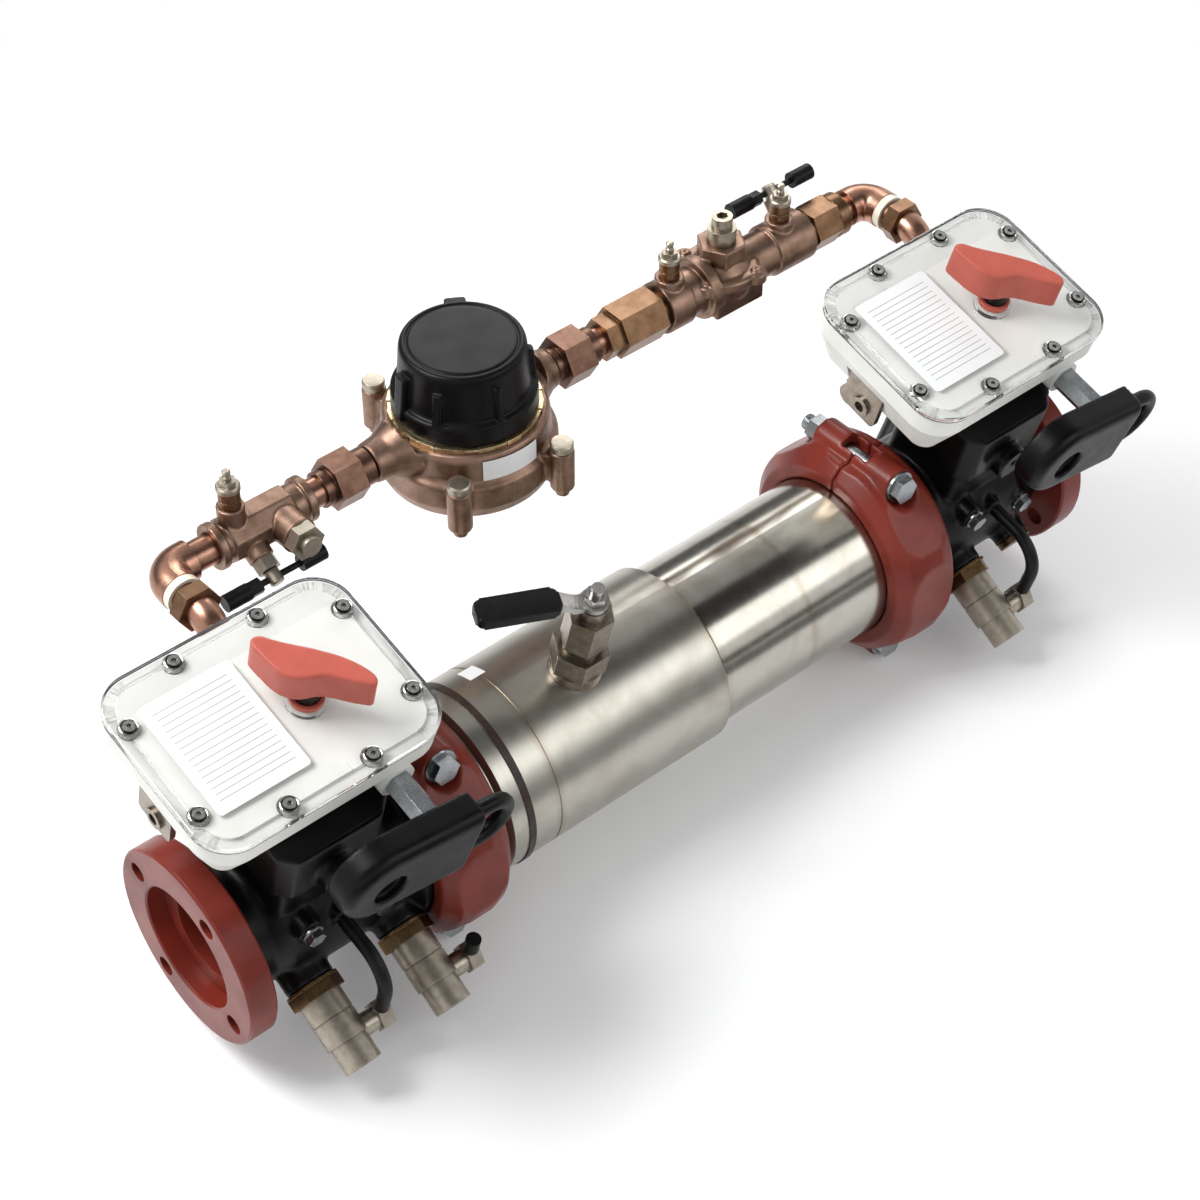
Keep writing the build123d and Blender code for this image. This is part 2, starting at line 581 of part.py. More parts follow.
# main checks: seat with guide, sliding poppet
CHECK_X = (262.0, 600.0)
POPPET_R = 56.0
with BuildPart() as check_seats:
    for start in CHECK_X:
        turned([
            (start, 52.0), (start, 76.0 - SEAT_FIT), (start + 22.0, 76.0 - SEAT_FIT),
            (start + 22.0, 50.0), (start + 12.0, 50.0),
        ])
        turned([(start, STEM_R + RUN_FIT), (start, 16.0), (start + 16.0, 14.0),
                (start + 16.0, STEM_R + RUN_FIT)])
        for turn in (90.0, 210.0, 330.0):
            with BuildSketch(Plane.YZ.offset(start)) as arm_sketch:
                with PolarLocations(32.5, 1, start_angle=turn):
                    Rectangle(41.0, 8.0)
            extrude(arm_sketch.sketch, amount=10.0)
finish(check_seats, "check_seats")
for start, label in ((CHECK_X[0], "first_check_poppet"), (CHECK_X[1], "second_check_poppet")):
    with BuildPart() as poppet:
        face_x = start + 22.0 + SIDE_GAP
        turned([
            (start - 40.0, 0.0), (start - 40.0, 12.0), (start - 34.0, 12.0),
            (start - 34.0, STEM_R), (face_x, STEM_R), (face_x, POPPET_R),
            (face_x + 7.0, POPPET_R), (face_x + 12.0, 20.0), (face_x + 16.0, 0.0),
        ])
    finish(poppet, label)

# barrel-top test valve and its lever
LEVER_Z = 190.0
LEVER_DEG = 22.0
with BuildPart() as test_valve:
    rod(upward(TEST_X, 0, 80.0), 25.0, 20.0)
    turned([(TEST_X - 40, 40.0), (TEST_X - 40, BARREL_R + SEAT_FIT),
            (TEST_X + 40, BARREL_R + SEAT_FIT), (TEST_X + 40, 40.0)], mode=Mode.SUBTRACT)
    hexagon(upward(TEST_X, 0, 100.0), 47.0, 26.0)
    rod(upward(TEST_X, 0, 126.0), 17.0, 9.0)
    hexagon(upward(TEST_X, 0, 135.0), 38.0, 42.0)
    rod(upward(TEST_X, 0, 177.0), 14.0, LEVER_Z - 177.0)
    rod(upward(TEST_X, 0, 85.0), 6.0, 70.0, Mode.SUBTRACT)
    rod(upward(TEST_X, 0, 170.0), 6.0 + RUN_FIT, 30.0, Mode.SUBTRACT)
finish(test_valve, "test_valve_body")
swing = radians(LEVER_DEG)
out_dir = (-cos(swing), sin(swing) * LEAN_C, sin(swing) * LEAN_S)
lever_flat = Plane(origin=lean(TEST_X, 0, LEVER_Z + SIDE_GAP), x_dir=out_dir,
                   z_dir=(0, -LEAN_S, LEAN_C))
lever_side = Plane(origin=lever_flat.origin, x_dir=out_dir,
                   z_dir=lever_flat.x_dir.cross(lever_flat.z_dir))
lever_end = Plane(origin=lever_flat.origin, x_dir=lever_flat.y_dir, z_dir=out_dir)
with BuildPart() as test_lever:
    rod(lever_flat.offset(-20.0), 6.0, 44.0)
    hexagon(lever_flat.offset(6.0), 18.0, 9.0)
    with BuildSketch(lever_flat) as plate:
        Circle(13.0)
        with Locations((9.0, 0)):
            Rectangle(22.0, 16.0)
    extrude(plate.sketch, amount=6.0)
    with BuildSketch(lever_side) as bend:
        with BuildLine() as edge:
            Polyline((14, 0), (14, 6), (18, 7), (32, 15), (44, 15), (44, 10.5), (34, 10.5),
                     (20, 0), close=True)
        make_face(edge.line.edges())
    extrude(bend.sketch, amount=8.0, both=True)
    with BuildSketch(Plane(origin=lever_end.origin + lever_flat.z_dir * 12.5,
                           x_dir=lever_end.x_dir, z_dir=out_dir).offset(34.0)) as grip:
        RectangleRounded(22.0, 9.0, 4.0)
    extrude(grip.sketch, amount=72.0)
finish(test_lever, "test_valve_lever")

# three drain cocks on the fronts of the bodies
with BuildPart() as cock_hexes:
    for cock_x in ALL_COCKS:
        rod(along_cock(cock_x, COCK_BASE_R - 13.7), 11.0 - SEAT_FIT, 20.0)
        rod(along_cock(cock_x, COCK_BASE_R), 25.0, 2.5)
        hexagon(along_cock(cock_x, COCK_BASE_R + 2.5), 44.0, 11.0, turn=10.0)
        rod(along_cock(cock_x, COCK_BASE_R - 15.0), 6.0, 50.0, Mode.SUBTRACT)
finish(cock_hexes, "cock_hexes")
ARM_R = 136.0
with BuildPart() as front_cocks:
    for cock_x in ALL_COCKS:
        rod(along_cock(cock_x, COCK_BASE_R + 13.5), 20.0, 20.0)
        rod(along_cock(cock_x, COCK_BASE_R + 33.5), 18.8, 1.5)
        rod(along_cock(cock_x, COCK_BASE_R + 35.0), 20.0, 22.0)
        rod(along_cock(cock_x, COCK_BASE_R + 57.0), 17.5, 25.0)
        side_arm = Plane(origin=along_cock(cock_x, ARM_R).origin, x_dir=(0, -1, 0), z_dir=(1, 0, 0))
        rod(side_arm, 10.5, 31.0)
        hexagon(side_arm.offset(31.0), 25.0, 13.0)
        rod(Plane(origin=along_cock(cock_x + 37.0, ARM_R).origin, x_dir=(1, 0, 0),
                  z_dir=(0, -LEAN_S, LEAN_C)), 3.4, 26.0)
        rod(along_cock(cock_x, COCK_BASE_R + 2.0), 6.0, 60.0, Mode.SUBTRACT)
        rod(along_cock(cock_x, COCK_BASE_R + 62.0), 12.0, 30.0, Mode.SUBTRACT)
finish(front_cocks, "front_cocks")
with BuildPart() as outlet_plug:
    rod(along_cock(PLUG_X, 66.3), 12.0 - SEAT_FIT, 16.0)
    rod(along_cock(PLUG_X, 82.0), 17.0, 6.0)
    block(along_cock(PLUG_X, 85.0), 9.0, 9.0, 6.0, Mode.SUBTRACT)
finish(outlet_plug, "outlet_plug")

# hoses from the bodies to the cocks, and the cap on the odd nipple
arm_y = -ARM_R * (COCK_C * LEAN_C + COCK_S * LEAN_S)
arm_z = ARM_R * (COCK_C * LEAN_S - COCK_S * LEAN_C)
HOSE_END_Z = arm_z + 14.8
with BuildPart() as hoses:
    for hose_x in HOSE_X:
        tube([lean(hose_x, NIPPLE_Y - SIDE_GAP, HOSE_Z), lean(hose_x, arm_y, HOSE_Z),
              lean(hose_x, arm_y, HOSE_END_Z)], 34.0, 6.5, 3.5)
    rod(upward(ALL_COCKS[1] + 37.0, arm_y, HOSE_END_Z), 7.0, 18.0)
    rod(upward(ALL_COCKS[1] + 37.0, arm_y, HOSE_END_Z - 1.0), 3.5, 13.0, Mode.SUBTRACT)
finish(hoses, "hoses")

# bypass: copper legs, elbows and tubes
HEX_Y = (128.0, 142.0)
with BuildPart() as copper_tubes:
    for leg_x in LEG_X:
        tube([(leg_x, RISER_Y, 20.3), (leg_x, RISER_Y, BYPASS_Z), (leg_x, 134.8, BYPASS_Z)],
             24.0, TUBE_R, TUBE_R - TUBE_WALL)
        tube([(leg_x, 135.2, BYPASS_Z), (leg_x, 162.0, BYPASS_Z)], None, TUBE_R, TUBE_R - TUBE_WALL)
    for start, end in ((154.2, 192.0), (268.0, 312.0), (600.0, 624.0), (908.0, 938.0)):
        tube([(start, BYPASS_Y, BYPASS_Z), (end, BYPASS_Y, BYPASS_Z)], None,
             TUBE_R, TUBE_R - TUBE_WALL)
finish(copper_tubes, "copper_tubes")
with BuildPart() as elbows:
    for leg_x, way in ((LEG_X[0], 1.0), (LEG_X[1], -1.0)):
        tube([(leg_x, BYPASS_Y - 28.0, BYPASS_Z), (leg_x, BYPASS_Y, BYPASS_Z),
              (leg_x + way * 28.0, BYPASS_Y, BYPASS_Z)], CUP_R + 1.0, CUP_R, TUBE_R + SEAT_FIT)
finish(elbows, "elbows")
with BuildPart() as ptfe_rings:
    for leg_x in LEG_X:
        tube([(leg_x, 149.0, BYPASS_Z), (leg_x, 156.8, BYPASS_Z)], None, 17.8, TUBE_R + SEAT_FIT)
finish(ptfe_rings, "ptfe_rings")


def run_plane(x):
    return Plane(origin=(x, BYPASS_Y, BYPASS_Z), x_dir=(0, 1, 0), z_dir=(1, 0, 0))


def standing(x, y, z):
    return Plane(origin=(x, y, z), x_dir=(1, 0, 0), z_dir=(0, 0, 1))


# bronze tee with its test cock boss, front port and small valve
TEE_COCK_X = 204.0
TEE_PORT_X = 247.0
TEE_VALVE_X = 214.0
VALVE_DIR = (0, -COCK_C, -COCK_S)


def small_valve_plane(x, direction, distance):
    across = Vector(direction)
    return Plane(origin=Vector(x, BYPASS_Y, BYPASS_Z) + across * distance, x_dir=(1, 0, 0),
                 z_dir=direction)


with BuildPart() as tee:
    rod(run_plane(180.0), 19.0, 100.0)
    rod(run_plane(180.0), 22.0, 8.0)
    rod(run_plane(272.0), 22.0, 8.0)
    with BuildSketch(run_plane(194.0)) as waist:
        RegularPolygon(21.0, 8, major_radius=False, rotation=22.5)
    extrude(waist.sketch, amount=66.0)
    rod(standing(TEE_COCK_X, BYPASS_Y, BYPASS_Z), 12.5, 36.0)
    port = Plane(origin=(TEE_PORT_X, BYPASS_Y, BYPASS_Z), x_dir=(1, 0, 0), z_dir=(0, -1, 0))
    rod(port, 17.0, 38.0)
    rod(small_valve_plane(TEE_VALVE_X, VALVE_DIR, 0), 12.0, 30.0)
    rod(run_plane(179.0), TUBE_R - TUBE_WALL, 102.0, Mode.SUBTRACT)
    rod(run_plane(179.0), TUBE_R + SEAT_FIT, 13.2, Mode.SUBTRACT)
    rod(run_plane(267.8), TUBE_R + SEAT_FIT, 13.2, Mode.SUBTRACT)
    rod(standing(TEE_COCK_X, BYPASS_Y, BYPASS_Z), 3.0, 40.0, Mode.SUBTRACT)
    rod(port, 8.0, 40.0, Mode.SUBTRACT)
    rod(small_valve_plane(TEE_VALVE_X, VALVE_DIR, 0), 4.0, 31.0, Mode.SUBTRACT)
finish(tee, "tee")

# small check body with two cock bosses, joint flange and bonnet
CHECK_BODY = (688.0, 872.0)
CHECK_COCKS = (702.5, 843.0)
BONNET_X = 768.0
BACK_VALVE_X = 860.0
BACK_DEG = 50.0
BACK_DIR = (0, cos(radians(BACK_DEG)), sin(radians(BACK_DEG)))
BALL_BORE = 16.5
with BuildPart() as check_body:
    rod(run_plane(CHECK_BODY[0]), 23.0, CHECK_BODY[1] - CHECK_BODY[0])
    rod(run_plane(CHECK_BODY[0]), 26.0, 28.0)
    rod(run_plane(734.0), 31.0, 12.0)
    rod(run_plane(826.0), 26.0, 46.0)
    with Locations((BONNET_X, BYPASS_Y, BYPASS_Z)):
        Sphere(32.0)
    rod(standing(BONNET_X, BYPASS_Y, BYPASS_Z - 8.0), 27.0, 24.0)
    hexagon(standing(BONNET_X, BYPASS_Y, BYPASS_Z + 16.0), 42.0, 26.0)
    for cock_x in CHECK_COCKS:
        rod(standing(cock_x, BYPASS_Y, BYPASS_Z), 14.0, 32.0)
    rod(small_valve_plane(BACK_VALVE_X, BACK_DIR, 0), 12.0, 30.0)
    rod(run_plane(CHECK_BODY[0] - 1.0), TUBE_R - TUBE_WALL, 200.0, Mode.SUBTRACT)
    rod(run_plane(712.0), BALL_BORE, 144.0, Mode.SUBTRACT)
    for cock_x in CHECK_COCKS:
        rod(standing(cock_x, BYPASS_Y, BYPASS_Z), 3.0, 40.0, Mode.SUBTRACT)
    rod(small_valve_plane(BACK_VALVE_X, BACK_DIR, 0), 4.0, 31.0, Mode.SUBTRACT)
    rod(standing(BONNET_X, BYPASS_Y, BYPASS_Z + 22.0), 11.0, 30.0, Mode.SUBTRACT)
finish(check_body, "bypass_check_body")
with BuildPart() as bonnet_plug:
    rod(standing(BONNET_X, BYPASS_Y, BYPASS_Z + 22.3), 11.0 - SEAT_FIT, 20.0)
    rod(standing(BONNET_X, BYPASS_Y, BYPASS_Z + 42.0), 14.0, 16.0)
    rod(standing(BONNET_X, BYPASS_Y, BYPASS_Z + 58.0), 10.0, 12.0)
    hexagon(standing(BONNET_X, BYPASS_Y, BYPASS_Z + 64.0), 10.0, 10.0, Mode.SUBTRACT)
finish(bonnet_plug, "bonnet_plug")

# seats and sliding poppets inside the small check body
BYPASS_CHECKS = (720.0, 790.0)
with BuildPart() as bypass_seats:
    for start in BYPASS_CHECKS:
        turned_on([(start, 9.0), (start, BALL_BORE - SEAT_FIT),
                   (start + 8.0, BALL_BORE - SEAT_FIT), (start + 8.0, 9.0)], BYPASS_Y, BYPASS_Z)
        turned_on([(start, 2.5 + RUN_FIT), (start, 5.0), (start + 6.0, 5.0),
                   (start + 6.0, 2.5 + RUN_FIT)], BYPASS_Y, BYPASS_Z)
        for turn in (90.0, 210.0, 330.0):
            with BuildSketch(run_plane(start)) as arm_sketch:
                with PolarLocations(7.0, 1, start_angle=turn):
                    Rectangle(6.0, 3.0)
            extrude(arm_sketch.sketch, amount=4.0)
finish(bypass_seats, "bypass_check_seats")
for start, label in ((BYPASS_CHECKS[0], "bypass_poppet_one"), (BYPASS_CHECKS[1], "bypass_poppet_two")):
    with BuildPart() as poppet:
        face_x = start + 8.0 + SIDE_GAP
        turned_on([
            (start - 8.0, 0.0), (start - 8.0, 4.0), (start - 6.0, 4.0), (start - 6.0, 2.5),
            (face_x, 2.5), (face_x, 12.0), (face_x + 3.0, 12.0), (face_x + 6.0, 3.0),
            (face_x + 6.0, 0.0),
        ], BYPASS_Y, BYPASS_Z)
    finish(poppet, label)

# brass test cocks on the bypass, with their turning stems
COCK_SPOTS = ((TEE_COCK_X, 258.0), (CHECK_COCKS[0], 254.0), (CHECK_COCKS[1], 254.0))
with BuildPart() as bypass_cocks:
    for cock_x, base in COCK_SPOTS:
        rod(standing(cock_x, BYPASS_Y, base), 9.8, 8.0)
        rod(standing(cock_x, BYPASS_Y, base + 8.0), 9.2, 1.5)
        rod(standing(cock_x, BYPASS_Y, base + 9.5), 9.8, 8.5)
        rod(standing(cock_x, BYPASS_Y, base - 1.0), 3.0, 10.0, Mode.SUBTRACT)
        rod(standing(cock_x, BYPASS_Y, base + 12.0), 4.0 + RUN_FIT, 20.0, Mode.SUBTRACT)
finish(bypass_cocks, "bypass_cocks")
with BuildPart() as cock_stems:
    for cock_x, base in COCK_SPOTS:
        rod(standing(cock_x, BYPASS_Y, base + 12.3), 4.0, 8.0)
        turned_up([(0, base + 18.3), (10.8, base + 18.3), (10.8, base + 22.3),
                   (9.4, base + 23.8), (0, base + 23.8)], cock_x, BYPASS_Y)
        hexagon(standing(cock_x, BYPASS_Y, base + 23.8), 13.5, 5.0)
        turned_up([(0, base + 28.8), (3.8, base + 28.8), (3.8, base + 32.0), (2.8, base + 33.0),
                   (2.8, base + 35.0), (3.8, base + 36.0), (3.8, base + 38.0),
                   (2.6, base + 39.2), (0, base + 39.2)], cock_x, BYPASS_Y)
finish(cock_stems, "cock_stems")

# small ball valves at the front of the tee and the back of the check body
with BuildPart() as nickel_fittings:
    hexagon(port.offset(38.0), 30.0, 12.0)
    rod(port.offset(50.0), 10.0, 6.0)
    for valve_x, direction in ((TEE_VALVE_X, VALVE_DIR), (BACK_VALVE_X, BACK_DIR)):
        hexagon(small_valve_plane(valve_x, direction, 30.0), 20.0, 12.0)
        rod(small_valve_plane(valve_x, direction, 32.0), 3.0 + RUN_FIT, 20.0, Mode.SUBTRACT)
finish(nickel_fittings, "nickel_fittings")
for valve_x, direction, label in ((TEE_VALVE_X, VALVE_DIR, "tee_valve_handle"),
                                  (BACK_VALVE_X, BACK_DIR, "back_valve_handle")):
    with BuildPart() as handle:
        rod(small_valve_plane(valve_x, direction, 32.3), 3.0, 15.0)
        hub_plane = small_valve_plane(valve_x, direction, 42.0 + SIDE_GAP)
        rod(hub_plane, 6.0, 10.0)
        middle = small_valve_plane(valve_x, direction, 49.0).origin
        bar = Plane(origin=middle - Vector(46.0, 0, 0), x_dir=(0, 1, 0), z_dir=(1, 0, 0))
        rod(bar, 3.0, 92.0)
        rod(bar.offset(-6.0), 8.0, 25.0)
        hexagon(bar.offset(19.0), 13.0, 12.0)
        rod(bar.offset(73.0), 8.0, 25.0)
    finish(handle, label)

# union nuts, adaptors and the copper-to-bronze joints of the run
with BuildPart() as union_nuts:
    for start, end, flats, collar_in, collar_out in (
        (304.0, 332.0, 44.0, 294.0, 346.0), (564.0, 594.0, 46.0, 556.0, 606.0),
    ):
        hexagon(run_plane(start), flats, end - start)
        rod(run_plane(collar_in), 17.5, start - collar_in)
        rod(run_plane(end), 18.0, collar_out - end)
        rod(run_plane(collar_in - 1.0), TUBE_R + SEAT_FIT, collar_out - collar_in + 2.0,
            Mode.SUBTRACT)
finish(union_nuts, "union_nuts")
with BuildPart() as adaptors:
    for leg_x in LEG_X:
        leg = Plane(origin=(leg_x, HEX_Y[0], BYPASS_Z), x_dir=(1, 0, 0), z_dir=(0, 1, 0))
        hexagon(leg, 38.0, HEX_Y[1] - HEX_Y[0])
        rod(leg.offset(-1.0), TUBE_R + SEAT_FIT, 20.0, Mode.SUBTRACT)
    hexagon(run_plane(616.0), 38.0, 16.0)
    hexagon(run_plane(632.0), 46.0, 50.0)
    rod(run_plane(682.0), 20.0, 6.0)
    rod(run_plane(872.0), 20.0, 6.0)
    hexagon(run_plane(878.0), 42.0, 32.0)
    rod(run_plane(910.0), 22.0, 12.0)
    rod(run_plane(610.0), TUBE_R - TUBE_WALL, 320.0, Mode.SUBTRACT)
    rod(run_plane(610.0), TUBE_R + SEAT_FIT, 14.2, Mode.SUBTRACT)
    rod(run_plane(907.8), TUBE_R + SEAT_FIT, 14.2, Mode.SUBTRACT)
finish(adaptors, "adaptors")

# water meter
METER_BOWL_R = 77.0
LUG_RING = 97.0
LUG_DEGS = (-132.0, -66.0, 48.0, 112.0)
LUG_TOP = 214.0
METER_PORTS = (331.0, 574.0)
CHAMBER_R = 58.0
with BuildPart() as meter_body:
    turned_up([
        (0, 150.0), (48.0, 150.0), (66.0, 155.0), (78.0, 165.0), (84.0, 178.0), (84.0, 200.0),
        (78.0, 206.0), (METER_BOWL_R, 226.0), (74.0, 232.0), (0, 232.0),
    ], METER_X, BYPASS_Y)
    for turn in LUG_DEGS:
        lug_x = METER_X + LUG_RING * cos(radians(turn))
        lug_y = BYPASS_Y + LUG_RING * sin(radians(turn))
        rod(standing(lug_x, lug_y, 170.0), 11.5, LUG_TOP - 170.0)
        rod(standing(lug_x, lug_y, 162.0), 7.0, 8.0)
        with BuildSketch(Plane(origin=(METER_X, BYPASS_Y, 178.0))) as web:
            with PolarLocations(LUG_RING - 14.0, 1, start_angle=turn):
                Rectangle(28.0, 18.0)
        extrude(web.sketch, amount=30.0)
    # port necks flare into the bowl
    neck_in = METER_X - 0.7 * METER_BOWL_R
    neck_out = METER_X + 0.7 * METER_BOWL_R
    turned_on([(METER_PORTS[0] + 1.5, 0), (METER_PORTS[0] + 1.5, TUBE_R), (348.0, TUBE_R),
               (348.0, 19.0), (364.0, 21.0), (neck_in, 40.0), (neck_in, 0)], BYPASS_Y, BYPASS_Z)
    turned_on([(neck_out, 0), (neck_out, 40.0), (546.0, 21.0), (555.0, 19.0), (555.0, TUBE_R),
               (METER_PORTS[1], TUBE_R), (METER_PORTS[1], 0)], BYPASS_Y, BYPASS_Z)
    with BuildSketch(standing(METER_X, BYPASS_Y, 232.0)) as level:
        Circle(80.0)
    extrude(level.sketch, amount=40.0, mode=Mode.SUBTRACT)
    turned_up([(0, 170.0), (50.0, 170.0), (CHAMBER_R, 178.0), (CHAMBER_R, 233.0), (0, 233.0)],
              METER_X, BYPASS_Y, mode=Mode.SUBTRACT)
    rod(run_plane(330.0), 9.0, METER_X - 358.0, Mode.SUBTRACT)
    rod(run_plane(METER_X + 32.0), 9.0, 590.0 - METER_X - 32.0, Mode.SUBTRACT)
    rod(standing(METER_X, BYPASS_Y, 164.7), 3.0 + RUN_FIT, 10.0, Mode.SUBTRACT)
    for turn in LUG_DEGS:
        lug_x = METER_X + LUG_RING * cos(radians(turn))
        lug_y = BYPASS_Y + LUG_RING * sin(radians(turn))
        rod(standing(lug_x, lug_y, LUG_TOP - 20.0), 5.0, 30.0, Mode.SUBTRACT)
finish(meter_body, "meter_body")
with BuildPart() as meter_ring:
    turned_up([(0, 232.0), (70.0, 232.0), (70.0, 236.0), (0, 236.0)], METER_X, BYPASS_Y)
    rod(standing(METER_X, BYPASS_Y, 230.0), 3.0 + RUN_FIT, 4.3, Mode.SUBTRACT)
finish(meter_ring, "meter_ring")
with BuildPart() as meter_bolts:
    for turn in LUG_DEGS:
        lug_x = METER_X + LUG_RING * cos(radians(turn))
        lug_y = BYPASS_Y + LUG_RING * sin(radians(turn))
        rod(standing(lug_x, lug_y, LUG_TOP), 10.0, 3.0)
        hexagon(standing(lug_x, lug_y, LUG_TOP + 3.0), 15.0, 6.0)
        rod(standing(lug_x, lug_y, LUG_TOP - 19.7), 5.0 - SEAT_FIT, 21.0)
finish(meter_bolts, "meter_bolts")
with BuildPart() as meter_rotor:
    rod(standing(METER_X, BYPASS_Y, 165.0), 3.0, 69.0)
    rod(standing(METER_X, BYPASS_Y, 184.0), 12.0, 40.0)
    for turn in range(0, 360, 60):
        with BuildSketch(Plane(origin=(METER_X, BYPASS_Y, 190.0))) as vane:
            with PolarLocations(30.0, 1, start_angle=float(turn)):
                Rectangle(44.0, 3.0)
        extrude(vane.sketch, amount=30.0)
finish(meter_rotor, "meter_rotor")
with BuildPart() as meter_cap:
    turned_up([
        (0, 300.0), (52.0, 300.0), (53.0, 302.0), (53.0, 307.0), (56.0, 307.0), (57.5, 304.0),
        (62.0, 246.0), (67.0, 244.0), (67.0, 236.0), (58.0, 236.0), (52.0, 294.0), (0, 294.0),
    ], METER_X, BYPASS_Y)
    for turn, width in ((-98.0, 12.0), (172.0, 16.0), (62.0, 22.0), (-40.0, 6.0), (-10.0, 6.0),
                        (20.0, 6.0), (105.0, 6.0), (135.0, 6.0), (-150.0, 6.0), (-125.0, 6.0)):
        with BuildSketch(Plane(origin=(METER_X, BYPASS_Y, 244.0))) as rib:
            with PolarLocations(58.5, 1, start_angle=turn):
                Rectangle(11.0, width)
        extrude(rib.sketch, amount=54.0)
finish(meter_cap, "meter_cap")
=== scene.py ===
"""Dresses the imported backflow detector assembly: enamelled and coated castings, a stainless barrel,
a copper and bronze bypass, clear-lidded gear boxes, and the small trim that the castings carry."""

import json
import math

import bmesh
import bpy
from mathutils import Matrix, Vector


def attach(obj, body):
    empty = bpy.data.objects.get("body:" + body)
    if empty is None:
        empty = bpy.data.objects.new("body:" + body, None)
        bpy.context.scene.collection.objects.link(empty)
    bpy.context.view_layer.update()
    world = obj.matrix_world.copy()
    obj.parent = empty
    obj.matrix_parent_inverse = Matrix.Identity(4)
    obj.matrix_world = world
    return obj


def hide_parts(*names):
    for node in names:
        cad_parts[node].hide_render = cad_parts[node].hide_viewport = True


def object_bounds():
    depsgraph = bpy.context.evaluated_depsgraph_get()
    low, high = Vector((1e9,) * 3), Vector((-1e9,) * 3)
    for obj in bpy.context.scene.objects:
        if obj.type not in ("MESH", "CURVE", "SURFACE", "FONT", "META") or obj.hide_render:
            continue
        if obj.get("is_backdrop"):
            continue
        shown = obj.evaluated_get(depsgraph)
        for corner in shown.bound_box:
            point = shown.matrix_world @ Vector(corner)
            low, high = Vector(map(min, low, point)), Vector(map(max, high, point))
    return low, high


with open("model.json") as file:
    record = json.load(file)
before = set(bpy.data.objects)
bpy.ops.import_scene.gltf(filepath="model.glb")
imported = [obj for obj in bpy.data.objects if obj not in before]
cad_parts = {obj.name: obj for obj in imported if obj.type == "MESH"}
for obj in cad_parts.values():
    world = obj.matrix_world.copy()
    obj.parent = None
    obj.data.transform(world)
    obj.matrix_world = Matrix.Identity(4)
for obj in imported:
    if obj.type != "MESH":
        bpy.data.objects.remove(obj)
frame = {"nodes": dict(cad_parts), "record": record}

bl_info = {
    "name": "Backflow Detector Finishes",
    "version": (1, 0, 0),
    "blender": (4, 5, 0),
    "location": "View3D > Sidebar > Backflow",
    "description": "Finishes and trim for a packed backflow detector assembly",
    "category": "Object",
}

MM = 0.001
ALONG, BACK, UP = (1.0, 0.0, 0.0), (0.0, 1.0, 0.0), (0.0, 0.0, 1.0)

# Places and sizes of the CAD that the trim follows, in millimetres of the row frame.
FACE_TO_FACE = 1008.0
VALVE_X = {"inlet": 104.0, "outlet": 896.0}
SPIGOT_FACE, SPIGOT_R, SPIGOT_BORE_R = 18.6, 58.6, 40.0
BORE_DEPTH = {"inlet": 78.0, "outlet": 38.0}
BARREL_R = 90.0
SLEEVE_END_X = 543.0  # the barrel's wide sleeve meets the narrow pipe here
WELDS = ((SLEEVE_END_X, 12.0), (655.0, 6.0), (339.5, 7.0))  # place and reach of the heat tint
TEST_X, LEVER_Z, LEVER_DEG, GRIP_REACH = 411.0, 202.8, 22.0, 71.0
GRIP = (76.0, 23.0, 9.0)  # length, width and thickness of the lever under its sleeve
COUPLING_X, COUPLING_BOLT_Z, BOLT_THREAD_Y = (238.0, 786.0), 102.0, 65.0
BYPASS_Y, BYPASS_Z = 185.0, 222.0
METER_X, METER_NOTCH_Z, METER_PLATE_R = 458.0, 234.4, 78.3
LUG_RING, LUG_DEGS = 97.0, (-132.0, -66.0, 48.0, 112.0)
BONNET_X, LOBE_RING, LOBE_DEGS = 768.0, 36.0, (-62.0, 28.0, 118.0, 208.0)
COCK_X, COCK_MOUTH_R, COCK_THREAD = (75.0, 172.0, 867.0), 165.0, 14.0
BAR_REACH, BAR_NUT_DX = 49.0, -26.6  # the small valves' handles, and the nut on each one's arm


def slope(way, degrees):
    """Direction across the row that rises by so many degrees, to the front (-1) or back (1)."""
    turn = math.radians(degrees)
    return (0.0, way * math.cos(turn), math.sin(turn))


COCK_DIR = slope(-1.0, -30.0)
SMALL_VALVES = {"tee": (214.0, COCK_DIR), "back": (860.0, slope(1.0, 50.0))}

# Both gear boxes lean toward the front; what follows is measured in a box's own upright frame.
LEAN_DEG = 15.0
LEAN = Matrix.Rotation(math.radians(LEAN_DEG), 4, "X")
LEAN_UP = LEAN.col[2][:3]
STEM_DX, HUB_Y, BOX_Y = 26.0, 38.0, 47.0
LID = (238.0, 184.0, 36.0)  # width, length and corner radius
LID_TOP, LID_H = 230.0, 8.0
LID_HOLLOW, HOLLOW_H = (215.0, 161.0, 24.5), 4.5
POCKET, POCKET_DX, POCKET_DY, POCKET_H = (15.0, 11.0, 2.0), 27.0, -77.0, 1.5
HUB_BORE_R, COLLAR_R, COLLAR_H = 10.5, 18.0, 5.0
SCREW_R, POST_R = 2.6, 9.5
SCREW_SPOTS = ((41.0, 79.2), (105.1, 47.7), (105.1, -47.7), (41.0, -79.2),
               (-41.0, -79.2), (-105.1, -47.7), (-105.1, 47.7), (-41.0, 79.2))
LABEL_DX, LABEL_Y = -47.8, 46.8
RULED_HALF, RULED_TOP, RULE_PITCH = 36.0, 95.0, 6.2  # the area ruled with faint lines


def linear(code):
    """Linear colour of an sRGB hex code."""
    shares = [int(code[i:i + 2], 16) / 255.0 for i in (1, 3, 5)]
    return tuple(c / 12.92 if c <= 0.04045 else ((c + 0.055) / 1.055) ** 2.4 for c in shares)


